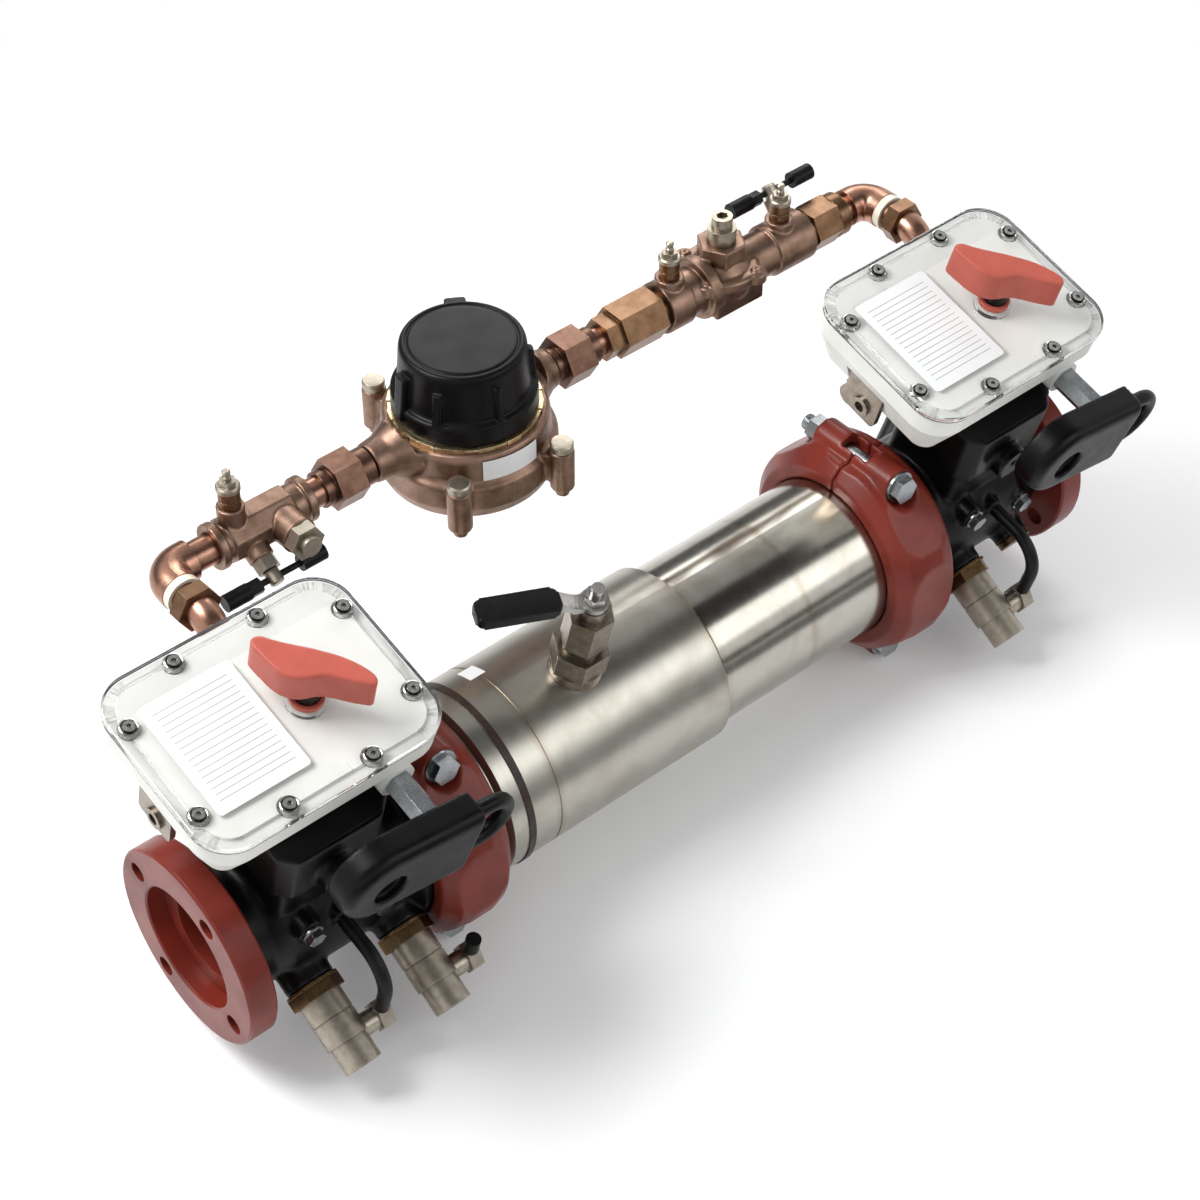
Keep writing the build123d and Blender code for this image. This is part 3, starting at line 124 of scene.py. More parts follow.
def tone(title, words, code):
    """A colour that the sidebar shows and a finish reads."""
    return bpy.props.FloatVectorProperty(
        name=title, description=words, subtype="COLOR", size=3, min=0.0, max=1.0,
        default=linear(code))


def length(title, words, millimetres):
    """A length that the sidebar shows in the scene's units."""
    return bpy.props.FloatProperty(
        name=title, description=words, default=millimetres * MM, min=0.0, unit="LENGTH",
        precision=5)


class BackflowColours(bpy.types.PropertyGroup):
    """Colours of the finishes."""
    enamel: tone("Enamel", "Red oxide enamel on flanges and couplings", "#7B2C20")
    enamel_dark: tone("Enamel in thick runs", "Deeper tone of the same enamel", "#672219")
    epoxy: tone("Epoxy", "Black epoxy coat on the valve bodies", "#070707")
    nylon: tone("Nylon", "Black moulded nylon of cranks, hubs and cap", "#060606")
    rubber: tone("Rubber", "Black rubber of hoses and sleeves", "#050505")
    abs_white: tone("Box", "White moulded boxes", "#E9E9E4")
    label: tone("Label", "Bare paper labels", "#E6E7E6")
    zinc: tone("Zinc", "Zinc-plated steel", "#AEB2B5")
    stainless: tone("Stainless", "Brushed stainless barrel", "#B7B4AB")
    nickel: tone("Nickel", "Nickel-plated brass", "#AFA799")
    coral: tone("Coral", "Moulded coral handles", "#BA5B4D")
    patina: tone("Old brass", "Brass that has gone brown", "#7A6142")
    brass: tone("Brass", "Machined brass", "#866850")
    bronze: tone("Bronze", "Cast bronze", "#9A7E6E")
    copper: tone("Copper", "Drawn copper tube", "#BB8D78")
    ptfe: tone("PTFE", "White sealing rings", "#EFE6D6")
    band: tone("Band", "Dark brown sealing band", "#3A2A22")


class BackflowSizes(bpy.types.PropertyGroup):
    """Sizes of the trim."""
    label_width: length("Label width", "Width of each lid label", 89.0)
    label_length: length("Label length", "Length of each lid label", 116.5)
    label_corner: length("Label corner", "Corner radius of each lid label", 4.0)
    label_thick: length("Label thickness", "Thickness of a label", 0.25)
    thread_pitch: length("Thread pitch", "Pitch of the bolts' threads", 2.0)
    pipe_pitch: length("Pipe thread pitch", "Pitch of the cocks' inner threads", 1.8)
    ring_gauge: length("Screw ring", "Thickness of the ring under each lid screw", 0.9)
    grip_wall: length("Grip wall", "Wall of the lever's dipped sleeve", 1.2)


def rgba(colour):
    """A linear colour, or an sRGB hex code, with full alpha."""
    return (*(linear(colour) if isinstance(colour, str) else colour), 1.0)


def is_socket(given):
    return isinstance(given, bpy.types.NodeSocket)


def fill(tree, node, inputs):
    """Links each input of a node to the socket given for it, or sets its value."""
    for name, given in inputs.items():
        if is_socket(given):
            tree.links.new(given, node.inputs[name])
        else:
            node.inputs[name].default_value = given


def add_node(tree, kind, inputs=None, **settings):
    """Adds one node with its settings and its inputs."""
    node = tree.nodes.new(kind)
    for name, setting in settings.items():
        setattr(node, name, setting)
    fill(tree, node, inputs or {})
    return node


def noise(tree, place, feature_mm, detail, **more):
    """Noise whose features are so many millimetres across."""
    return add_node(tree, "ShaderNodeTexNoise", {
        "Vector": place, "Scale": 1.0 / (feature_mm * MM), "Detail": detail,
        **more}).outputs["Fac"]


def ramp(tree, value, start, end, low=0.0, high=1.0, **settings):
    """Maps start to end onto low to high."""
    return add_node(tree, "ShaderNodeMapRange", {
        "Value": value, "From Min": start, "From Max": end, "To Min": low, "To Max": high},
        **settings).outputs["Result"]


def maths(tree, operation, *values):
    return add_node(tree, "ShaderNodeMath", dict(enumerate(values)),
                    operation=operation).outputs[0]


def blend(tree, share, *colours):
    """The second colour over the first by a share."""
    first, second = (one if is_socket(one) else rgba(one) for one in colours)
    return add_node(tree, "ShaderNodeMix", {0: share, 6: first, 7: second},
                    data_type="RGBA").outputs[2]


def either(tree, share, first, second):
    """The second shader over the first by a share."""
    return add_node(tree, "ShaderNodeMixShader", {0: share, 1: first, 2: second}).outputs[0]


def round_edges(tree, edge_mm):
    return add_node(tree, "ShaderNodeBevel", {"Radius": edge_mm * MM}, samples=4).outputs["Normal"]


def edge_share(tree, rounded, start, end, high=1.0):
    """How far the rounded normal turns from the face's own, as a share up to high."""
    flat = add_node(tree, "ShaderNodeNewGeometry").outputs["Normal"]
    turn = add_node(tree, "ShaderNodeVectorMath", {0: rounded, 1: flat}, operation="DOT_PRODUCT")
    return ramp(tree, turn.outputs["Value"], start, end, 0.0, high)


def relief(tree, height, depth_mm, **more):
    return add_node(tree, "ShaderNodeBump", {
        "Height": height, "Distance": depth_mm * MM, **more}).outputs["Normal"]


def finish_tree(name):
    """A material with one Principled shader, and the object's own coordinates."""
    material = bpy.data.materials.new(name)
    material.use_nodes = True
    tree = material.node_tree
    tree.nodes.clear()
    shader = add_node(tree, "ShaderNodeBsdfPrincipled")
    add_node(tree, "ShaderNodeOutputMaterial", {"Surface": shader.outputs["BSDF"]})
    return material, tree, shader, add_node(tree, "ShaderNodeTexCoord").outputs["Object"]


def show(tree, surface):
    """Shows another shader in place of the Principled one alone."""
    leave = next(node for node in tree.nodes if node.type == "OUTPUT_MATERIAL")
    tree.links.new(surface, leave.inputs["Surface"])


def coated(name, colour, deep, rough=(0.28, 0.4), patch_mm=45.0, grain_mm=1.4, grain_depth_mm=0.03,
           edge_mm=0.8, worn=None, wear=0.0, coat=0.0, level=0.38):
    """Paint or moulded plastic: slow drift of tone, fine grain in the gloss and rounded edges,
    which show the worn colour where wear is above zero."""
    material, tree, shader, place = finish_tree(name)
    slow = noise(tree, place, patch_mm, 4.0, Roughness=0.55)
    base = blend(tree, ramp(tree, slow, 0.35, 0.65), colour, deep)
    rounded = round_edges(tree, edge_mm)
    if wear > 0.0:
        chips = ramp(tree, noise(tree, place, 2.6, 6.0), 0.48, 0.6, 0.0, wear)
        edge = edge_share(tree, rounded, 0.985, 0.9)
        base = blend(tree, maths(tree, "MULTIPLY", edge, chips), base, worn)
    grain = noise(tree, place, grain_mm, 3.0)
    fill(tree, shader, {
        "Base Color": base, "Roughness": ramp(tree, slow, 0.3, 0.7, *rough),
        "Normal": relief(tree, grain, grain_depth_mm, Normal=rounded),
        "Specular IOR Level": level, "Coat Weight": coat, "Coat Roughness": 0.12})
    return material


def metal(name, colour, stain, rough=(0.22, 0.36), patch_mm=18.0, grain_mm=0.9,
          grain_depth_mm=0.02, stretch=(1.0, 1.0, 1.0), edge_mm=0.4, grime_and_shade=None, bright=None):
    """Bare or plated metal: stains that drift, a grain that may be drawn out along one way,
    darkening painted into the corners and hollows, partly grime and partly painted shade, and
    edges rubbed bright."""
    material, tree, shader, place = finish_tree(name)
    slow = noise(tree, place, patch_mm, 5.0, Roughness=0.6)
    base = blend(tree, ramp(tree, slow, 0.38, 0.68), colour, stain)
    rounded = round_edges(tree, edge_mm)
    if grime_and_shade is not None:
        # painted shade: occlusion darkens the colour in corners and hollows, standing partly for
        # grime there
        hollow = add_node(tree, "ShaderNodeAmbientOcclusion", {"Distance": 7.0 * MM}, samples=4)
        base = blend(tree, ramp(tree, hollow.outputs["AO"], 0.85, 0.35, 0.0, 0.75), base, grime_and_shade)
    if bright is not None:
        base = blend(tree, edge_share(tree, rounded, 0.99, 0.93, 0.8), base, bright)
    drawn = add_node(tree, "ShaderNodeMapping", {"Vector": place, "Scale": stretch})
    grain = noise(tree, drawn.outputs["Vector"], grain_mm, 4.0)
    fill(tree, shader, {
        "Base Color": base, "Roughness": ramp(tree, grain, 0.3, 0.7, *rough), "Metallic": 1.0,
        "Normal": relief(tree, grain, grain_depth_mm, Normal=rounded)})
    return material


def brushed_barrel(name, colour):
    """Stainless steel tube, brushed round its girth: the wide sleeve is satin and the narrow pipe
    past it is polished, with tea-coloured heat tint beside the welds."""
    material, tree, shader, place = finish_tree(name)
    along = add_node(tree, "ShaderNodeSeparateXYZ", {0: place}).outputs["X"]
    polished = ramp(tree, along, SLEEVE_END_X * MM, (SLEEVE_END_X + 1.5) * MM)
    brushed = add_node(tree, "ShaderNodeMapping", {"Vector": place, "Scale": (1.0, 0.03, 0.03)})
    lines = noise(tree, brushed.outputs["Vector"], 0.8, 6.0, Roughness=0.7)
    cloud = noise(tree, place, 38.0, 5.0, Distortion=0.6)
    base = blend(tree, ramp(tree, cloud, 0.42, 0.75, 0.0, 0.55), colour, "#9A9284")
    for weld_x, reach in WELDS:
        off = maths(tree, "ABSOLUTE", maths(tree, "SUBTRACT", along, weld_x * MM))
        base = blend(tree, ramp(tree, off, reach * MM, 0.0, 0.0, 0.35), base, "#8C7A62")
    satin = ramp(tree, lines, 0.3, 0.7, 0.27, 0.38)
    mirror = ramp(tree, lines, 0.3, 0.7, 0.15, 0.24)
    gloss = add_node(tree, "ShaderNodeMix", {0: polished, 2: satin, 3: mirror}, data_type="FLOAT")
    fill(tree, shader, {
        "Base Color": base, "Roughness": gloss.outputs[0], "Normal": relief(tree, lines, 0.012),
        "Metallic": 1.0, "Anisotropic": 0.35})
    return material


def clear_lid(name):
    """Injection-moulded polycarbonate: clear, faintly smoky, with a few dull patches of handling.
    Shadow and diffuse rays pass straight through it, so that what lies below it is lit."""
    material, tree, shader, place = finish_tree(name)
    touch = noise(tree, place, 30.0, 3.0)
    fill(tree, shader, {
        "Roughness": ramp(tree, touch, 0.4, 0.7, 0.0, 0.03), "Base Color": rgba("#F5F6F6"),
        "Transmission Weight": 1.0, "IOR": 1.45})
    clear = add_node(tree, "ShaderNodeBsdfTransparent", {"Color": (0.95, 0.95, 0.95, 1.0)})
    path = add_node(tree, "ShaderNodeLightPath").outputs
    passing = maths(tree, "MAXIMUM", path["Is Shadow Ray"], path["Is Diffuse Ray"])
    show(tree, either(tree, passing, shader.outputs[0], clear.outputs[0]))
    return material


def bare_label(name, colour, centre_x=None):
    """Coated paper with nothing printed. Round a given centre it has faint ruled lines, spaced
    down the lean frame."""
    material, tree, shader, place = finish_tree(name)
    base = rgba(colour)
    if centre_x is not None:
        level = add_node(tree, "ShaderNodeMapping", {
            "Vector": place, "Rotation": (-math.radians(LEAN_DEG), 0.0, 0.0)})
        split = add_node(tree, "ShaderNodeSeparateXYZ", {0: level.outputs["Vector"]}).outputs
        rows = maths(tree, "MULTIPLY", split["Y"], 1.0 / (RULE_PITCH * MM))
        ink = maths(tree, "LESS_THAN", maths(tree, "FRACT", rows), 0.13)
        for axis, sense, limit in (("X", "GREATER_THAN", centre_x - RULED_HALF),
                                   ("X", "LESS_THAN", centre_x + RULED_HALF),
                                   ("Y", "GREATER_THAN", 0.0), ("Y", "LESS_THAN", RULED_TOP)):
            inside = maths(tree, sense, split[axis], limit * MM)
            ink = maths(tree, "MULTIPLY", ink, inside)
        base = blend(tree, maths(tree, "MULTIPLY", ink, 0.85), colour, "#8E9092")
    fill(tree, shader, {"Base Color": base, "Roughness": 0.42,
                        "Normal": relief(tree, noise(tree, place, 0.7, 3.0), 0.01)})
    return material


FINISHES = {}


def finishes():
    """Every finish of the assembly, made once from the sidebar's colours."""
    if FINISHES:
        return FINISHES
    hue = bpy.context.scene.backflow_colours
    FINISHES.update({
        # air-drying enamel over sand-cast iron: warm sheen, orange peel, thin on the edges
        "enamel": coated("RedOxideEnamel", hue.enamel, hue.enamel_dark, (0.3, 0.42), 50.0, 2.2,
                         0.05, 1.2, "#9A5646", 0.4, 0.12, 0.24),
        # fusion-bonded epoxy over the same iron: satin black with the casting's soft pebble
        "epoxy": coated("BlackEpoxyCoat", hue.epoxy, "#0B0B0C", (0.3, 0.42), 35.0, 1.8, 0.06, 1.2,
                        "#1A1B1C", 0.4, level=0.2),
        # glass-filled nylon: dull, faintly pitted, corners rubbed grey
        "nylon": coated("BlackMouldedNylon", hue.nylon, "#0A0A0B", (0.3, 0.42), 22.0, 0.9, 0.02,
                        0.9, "#18191A", 0.4, level=0.16),
        # extruded rubber: black with a low bloom
        "rubber": coated("BlackRubber", hue.rubber, "#0A0A0B", (0.36, 0.5), 9.0, 0.7, 0.015, 0.5,
                         level=0.22),
        # silicone cord between lid and box: dark grey, so the joint reads as one dark line
        "seal": coated("GreySiliconeCord", "#3C3F41", "#2E3032", (0.4, 0.5), 9.0, 0.7, 0.01, 0.3),
        # moulded ABS: even white with the tool's fine texture
        "abs": coated("WhiteMouldedABS", hue.abs_white, "#DFDFD9", (0.34, 0.42), 60.0, 0.8, 0.012,
                      0.6),
        # pigmented nylon: chalky coral, lighter where the edges are handled
        "coral": coated("CoralMouldedNylon", hue.coral, "#B25446", (0.38, 0.5), 25.0, 0.8, 0.02,
                        1.0, "#CE8272", 0.5),
        # sintered PTFE: waxy off-white
        "ptfe": coated("PTFERing", hue.ptfe, "#E4D8C4", (0.3, 0.4), 12.0, 1.2, 0.02, 0.5),
        # rolled rubber band: dark brown
        "band": coated("BrownRubberBand", hue.band, "#2A1F1A", (0.35, 0.5), 15.0, 0.9, 0.02, 0.4),
        # each metal's grime colour is painted into its corners and hollows: painted shade, with grime
        # there as well
        # zinc electroplate: cool grey with a cloudy bloom
        "zinc": metal("ZincPlatedSteel", hue.zinc, "#989DA0", (0.22, 0.34), 9.0, 0.7, 0.015,
                      grime_and_shade="#4A4C4E", bright="#D4D6D8"),
        "stainless": brushed_barrel("BrushedStainless", hue.stainless),
        # button screws and their washers: stainless, tumbled to a mirror
        "screw": metal("PolishedScrewSteel", "#D2D2CF", "#ABABA8", (0.14, 0.24), 6.0, 0.5, 0.006,
                       grime_and_shade="#4A4A48"),
        # pressed stainless, left bright
        "lever": metal("PressedStainless", "#C4C3C0", "#A5A39E", (0.18, 0.3), 10.0, 0.6, 0.01,
                       grime_and_shade="#5C5A56"),
        # dull nickel over blasted brass: champagne grey with a fine pebble
        "nickel": metal("NickelPlatedBrass", hue.nickel, "#9D9485", (0.32, 0.46), 8.0, 0.55, 0.025,
                        grime_and_shade="#4E463A", bright="#D8D0C2"),
        # the same plate worn through to a warmer grey
        "worn_nickel": metal("WornNickelPlate", "#A0968A", "#857A6C", (0.24, 0.38), 9.0, 0.6, 0.02,
                             grime_and_shade="#3A332A", bright="#D2CABC"),
        # brass left outdoors: brown with yellow left on the corners
        "patina": metal("AgedBrass", hue.patina, "#5A4A36", (0.3, 0.46), 7.0, 0.8, 0.02,
                        grime_and_shade="#2E261C", bright="#B08F5C"),
        # turned and milled brass: warm, fine tool lines
        "brass": metal("MachinedBrass", hue.brass, "#6C513B", (0.28, 0.42), 14.0, 0.7, 0.012,
                       (1.0, 0.3, 0.3), grime_and_shade="#4A3424", bright="#B99872"),
        # the meter ring and its milled notches: brass, freshly cut
        "notch": metal("FreshCutBrass", "#E6D2AA", "#C4AC80", (0.24, 0.36), 10.0, 0.7, 0.01),
        # sand-cast red bronze: rosy brown, softly rough
        "bronze": metal("CastBronze", hue.bronze, "#7A6252", (0.36, 0.5), 16.0, 1.5, 0.06,
                        edge_mm=0.9, grime_and_shade="#3E281F", bright="#C2917A"),
        # the union nuts: bronze browned by handling
        "browned": metal("BrownedBronze", "#7E6052", "#63493C", (0.3, 0.44), 14.0, 1.2, 0.03,
                         edge_mm=0.7, grime_and_shade="#2E1F18", bright="#B48C76"),
        # drawn copper: pink with brown handling stains
        "copper": metal("DrawnCopper", hue.copper, "#94705F", (0.24, 0.38), 22.0, 0.8, 0.01,
                        grime_and_shade="#4A2C20", bright="#D89A7C"),
        "lid": clear_lid("ClearPolycarbonate"),
        "sticker": bare_label("BareSticker", hue.label),
        "meter_label": bare_label("MeterBareLabel", hue.label),
    })
    for tag, centre in VALVE_X.items():
        FINISHES[f"{tag}_label"] = bare_label(f"BareLabel_{tag}", hue.label, centre + LABEL_DX)
    return FINISHES


def dress(finish, *names):
    """Gives CAD nodes their finish."""
    material = finishes()[finish]
    for name in names:
        slots = frame["nodes"][name].material_slots
        if not slots:
            raise RuntimeError(f"{name} has no material slot")
        for one in slots:
            one.material = material


def leaned(x, y, z):
    """A point given in a gear box's own upright millimetres, in metres of the row frame."""
    return LEAN @ Vector((x * MM, y * MM, z * MM))


def stand(origin, up, across=ALONG):
    """Matrix that puts local millimetres at a point (metres), +Z along up and +X near across."""
    z_axis = Vector(up).normalized()
    x_axis = (Vector(across) - z_axis * Vector(across).dot(z_axis)).normalized()
    y_axis = z_axis.cross(x_axis)
    turned = Matrix((x_axis, y_axis, z_axis)).transposed().to_4x4()
    return Matrix.Translation(origin) @ turned @ Matrix.Scale(MM, 4)


def polar(radius, degrees):
    turn = math.radians(degrees)
    return radius * math.cos(turn), radius * math.sin(turn)


def placed(name, data):
    """A new object of the scene."""
    item = bpy.data.objects.new(name, data)
    bpy.context.scene.collection.objects.link(item)
    return item


def piece_from(bm, name, matrix, finish, body="assembly", smooth_deg=35.0):
    """Turns a bmesh in local millimetres into a finished piece that rides on its body."""
    bmesh.ops.remove_doubles(bm, verts=bm.verts, dist=1e-5)
    bmesh.ops.recalc_face_normals(bm, faces=bm.faces)
    mesh = bpy.data.meshes.new(name)
    bm.to_mesh(mesh)
    bm.free()
    mesh.transform(matrix)
    return finish_mesh(mesh, name, finish, body, smooth_deg)


def finish_mesh(mesh, name, finish, body, smooth_deg=35.0):
    """Links a mesh that is already in place, shades it, gives it its finish and ties it to its body.
    """
    piece = placed(name, mesh)
    mesh.name = name
    mesh.shade_smooth()
    mesh.set_sharp_from_angle(angle=math.radians(smooth_deg))
    mesh.materials.clear()
    mesh.materials.append(finishes()[finish])
    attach(piece, body)
    return piece


def merge(bm, others):
    """Adds other meshes to the first one, and frees them."""
    for other in others:
        mesh = bpy.data.meshes.new("part")
        other.to_mesh(mesh)
        other.free()
        bm.from_mesh(mesh)
        bpy.data.meshes.remove(mesh)
    return bm


def around(items):
    """Each item with the next one, and the last with the first."""
    return list(zip(items, items[1:] + items[:1]))


def skin(bm, low, high):
    """Joins two closed rings of points; a pole is a ring that repeats one point."""
    for (a, b), (d, c) in zip(around(low), around(high)):
        bm.faces.new(tuple(dict.fromkeys((a, b, c, d))))


def ring_points(radius, centre=(0.0, 0.0), steps=48):
    turns = [math.tau * i / steps for i in range(steps)]
    return [(centre[0] + radius * math.cos(turn), centre[1] + radius * math.sin(turn))
            for turn in turns]


def lathe(points, steps=64):
    """A closed turned body about local Z from (radius, height) points, which run round the
    section; points at radius zero close its ends."""
    bm = bmesh.new()
    rings = []
    for r, z in points:
        if r > 0.0:
            rings.append([bm.verts.new((x, y, z)) for x, y in ring_points(r, steps=steps)])
        else:
            rings.append([bm.verts.new((0.0, 0.0, z))] * steps)
    closed = points[0][0] > 0.0 and points[-1][0] > 0.0
    for low, high in around(rings) if closed else zip(rings, rings[1:]):
        skin(bm, low, high)
    return bm


def rounded_outline(width, height, corner, steps=6):
    """Points of a rectangle with round corners, centred on the origin."""
    points = []
    for sx, sy, start in ((1, 1, 0), (-1, 1, 90), (-1, -1, 180), (1, -1, 270)):
        cx, cy = sx * (width / 2 - corner), sy * (height / 2 - corner)
        for i in range(steps + 1):
            dx, dy = polar(corner, start + 90.0 * i / steps)
            points.append((cx + dx, cy + dy))
    return points


def add_wall(bm, low_loop, low, high_loop, high):
    """Joins a loop at one height to a like one at another, and gives both rings of points."""
    bottom = [bm.verts.new((x, y, low)) for x, y in low_loop]
    top = [bm.verts.new((x, y, high)) for x, y in high_loop]
    skin(bm, bottom, top)
    return bottom, top


def slab(outline, low, high):
    """A flat plate with that outline between two heights."""
    bm = bmesh.new()
    bottom, top = add_wall(bm, outline, low, outline, high)
    bm.faces.new(list(reversed(bottom)))
    bm.faces.new(top)
    return bm


def plate(loops, height):
    """A flat sheet at that height, filled between its outline and the holes in it."""
    bm = bmesh.new()
    for loop in loops:
        for here, there in around([bm.verts.new((x, y, height)) for x, y in loop]):
            bm.edges.new((here, there))
    bmesh.ops.triangle_fill(bm, use_beauty=True, use_dissolve=False, edges=bm.edges, normal=UP)
    return bm


def cord_loop(outline, height, gauge, steps=8):
    """A round cord laid along a closed outline."""
    bm = bmesh.new()
    rings = []
    for i, (x, y) in enumerate(outline):
        run = Vector(outline[(i + 1) % len(outline)]) - Vector(outline[i - 1])
        side = Vector((run.y, -run.x)).normalized()
        rings.append([bm.verts.new((x + side.x * out, y + side.y * out, height + rise))
                      for out, rise in ring_points(gauge, steps=steps)])
    for here, there in around(rings):
        skin(bm, here, there)
    return bm


def curved_patch(radius, thick, along, start, end, steps):
    """A thin sheet wrapped round local X: its width lies along X and its length round the turn,
    between two angles in degrees."""
    bm = bmesh.new()
    left, right = along
    section = ((left, radius), (right, radius), (right, radius + thick), (left, radius + thick))
    rings = [[bm.verts.new((x, *polar(r, start + (end - start) * i / steps)))
              for x, r in section] for i in range(steps + 1)]
    for here, there in zip(rings, rings[1:]):
        skin(bm, here, there)
    bm.faces.new(rings[0])
    bm.faces.new(rings[-1])
    return bm


def settled(holder):
    """The mesh that an object's modifiers give; the object itself goes."""
    bpy.context.view_layer.update()
    shown = holder.evaluated_get(bpy.context.evaluated_depsgraph_get())
    mesh = bpy.data.meshes.new_from_object(shown)
    seed = holder.data
    bpy.data.objects.remove(holder)
    bpy.data.meshes.remove(seed)
    return mesh


def mould(bm, voxel_mm, rounds):
    """Meshes a solid evenly and relaxes it, so that its edges turn softly, as they do out of a
    mould. The solid is in metres and in place, and so is the mesh that comes back."""
    mesh = bpy.data.meshes.new("moulded")
    bm.to_mesh(mesh)
    bm.free()
    holder = placed("moulded", mesh)
    even = holder.modifiers.new("Even", "REMESH")
    even.mode = "VOXEL"
    even.voxel_size = voxel_mm * MM
    relax = holder.modifiers.new("Relax", "SMOOTH")
    relax.factor = 0.5
    relax.iterations = rounds
    return settled(holder)


def cast_copy(node, finish, voxel_mm, rounds, added=()):
    """A copy of one CAD casting with softened edges, and with any added shapes grown into it;
    it stands for the CAD node."""
    body = next(b for b, names in frame["record"]["behaviour"]["bodies"].items() if node in names)
    bm = bmesh.new()
    bm.from_mesh(frame["nodes"][node].data)
    bmesh.ops.remove_doubles(bm, verts=bm.verts, dist=1e-6)
    mesh = mould(merge(bm, added), voxel_mm, rounds)
    piece = finish_mesh(mesh, node + "_cast", finish, body, 60.0)
    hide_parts(node)


def node_tree(name, sizes):
    """An empty geometry tree with the named sizes as inputs: it, its entry's sockets, its end and
    the inputs' identifiers."""
    tree = bpy.data.node_groups.new(name, "GeometryNodeTree")
    tree.interface.new_socket("Geometry", in_out="INPUT", socket_type="NodeSocketGeometry")
    known = {}
    for title, value in sizes.items():
        kind = "NodeSocketInt" if isinstance(value, int) else "NodeSocketFloat"
        socket = tree.interface.new_socket(title, in_out="INPUT", socket_type=kind)
        socket.default_value = value
        known[title] = socket.identifier
    tree.interface.new_socket("Geometry", in_out="OUTPUT", socket_type="NodeSocketGeometry")
    entry = add_node(tree, "NodeGroupInput").outputs
    return tree, entry, add_node(tree, "NodeGroupOutput"), known


def add_circle(tree, radius, steps):
    return add_node(tree, "GeometryNodeCurvePrimitiveCircle", {
        "Radius": radius, "Resolution": steps}).outputs["Curve"]


def add_hoop(tree, radius, gauge, steps, gauge_steps):
    """A round wire bent to a ring."""
    return add_node(tree, "GeometryNodeCurveToMesh", {
        "Curve": add_circle(tree, radius, steps),
        "Profile Curve": add_circle(tree, gauge, gauge_steps)}).outputs["Mesh"]


def end_tree(tree, leave, finish, inputs):
    """Puts the shape on the points, realises it, sets its material and closes the tree."""
    many = add_node(tree, "GeometryNodeInstanceOnPoints", inputs)
    real = add_node(tree, "GeometryNodeRealizeInstances", {"Geometry": many.outputs["Instances"]})
    done = add_node(tree, "GeometryNodeSetMaterial", {
        "Geometry": real.outputs["Geometry"], "Material": finishes()[finish]})
    tree.links.new(done.outputs["Geometry"], leave.inputs["Geometry"])


def thread_tree(finish):
    """Ridges of a thread: rings of a given radius and pitch along local Z."""
    tree, entry, leave, known = node_tree(
        "ThreadRidges", {"Radius": 8.0, "Pitch": 2.0, "Turns": 5, "Ridge": 0.5})
    rise = add_node(tree, "ShaderNodeCombineXYZ", {"Z": entry["Pitch"]})
    line = add_node(tree, "GeometryNodeMeshLine", {
        "Count": entry["Turns"], "Offset": rise.outputs[0]})
    ridge = add_hoop(tree, entry["Radius"], entry["Ridge"], 40, 6)
    end_tree(tree, leave, finish, {"Points": line.outputs["Mesh"], "Instance": ridge})
    return tree, known


def ring_tree(finish):
    """A small round-section ring on every point of the seed mesh."""
    tree, entry, leave, known = node_tree("ScrewRings", {"Radius": 6.0, "Gauge": 0.8})
    ring = add_hoop(tree, entry["Radius"], entry["Gauge"], 28, 8)
    end_tree(tree, leave, finish, {"Points": entry["Geometry"], "Instance": ring})
    return tree, known


def notch_tree(finish):
    """Blocks spread evenly round a ring, each turned to face out."""
    tree, entry, leave, known = node_tree(
        "RingNotches", {"Radius": 68.0, "Count": 20, "Depth": 4.0, "Width": 8.0, "Height": 4.0})
    spread = add_node(tree, "GeometryNodeCurveToPoints", {
        "Curve": add_circle(tree, entry["Radius"], 128), "Count": entry["Count"]}, mode="COUNT")
    size = add_node(tree, "ShaderNodeCombineXYZ", {
        "X": entry["Depth"], "Y": entry["Height"], "Z": entry["Width"]})
    block = add_node(tree, "GeometryNodeMeshCube", {"Size": size.outputs[0]})
    end_tree(tree, leave, finish, {
        "Points": spread.outputs["Points"], "Instance": block.outputs["Mesh"],
        "Rotation": spread.outputs["Rotation"]})
    return tree, known


def bake(made, inputs, name, matrix, finish, spots=((0.0, 0.0, 0.0),)):
    """Runs a geometry tree on a mesh of bare points, and keeps the result as a plain piece."""
    tree, known = made
    seed = bpy.data.meshes.new(name + "_seed")
    seed.from_pydata(spots, [], [])
    holder = placed(name + "_seed", seed)
    modifier = holder.modifiers.new("Trim", "NODES")
    modifier.node_group = tree
    for title, value in inputs.items():
        modifier[known[title]] = value
    mesh = settled(holder)
    mesh.transform(matrix)
    if len(mesh.polygons) == 0:
        raise RuntimeError(f"{name} came out empty")
    finish_mesh(mesh, name, finish, "assembly")


class BackflowOperator:
    """What every maker of a group of pieces shares."""
    bl_options = {"REGISTER"}

    def size(self, name):
        """A size from the sidebar, in millimetres."""
        return getattr(bpy.context.scene.backflow_sizes, name) / MM


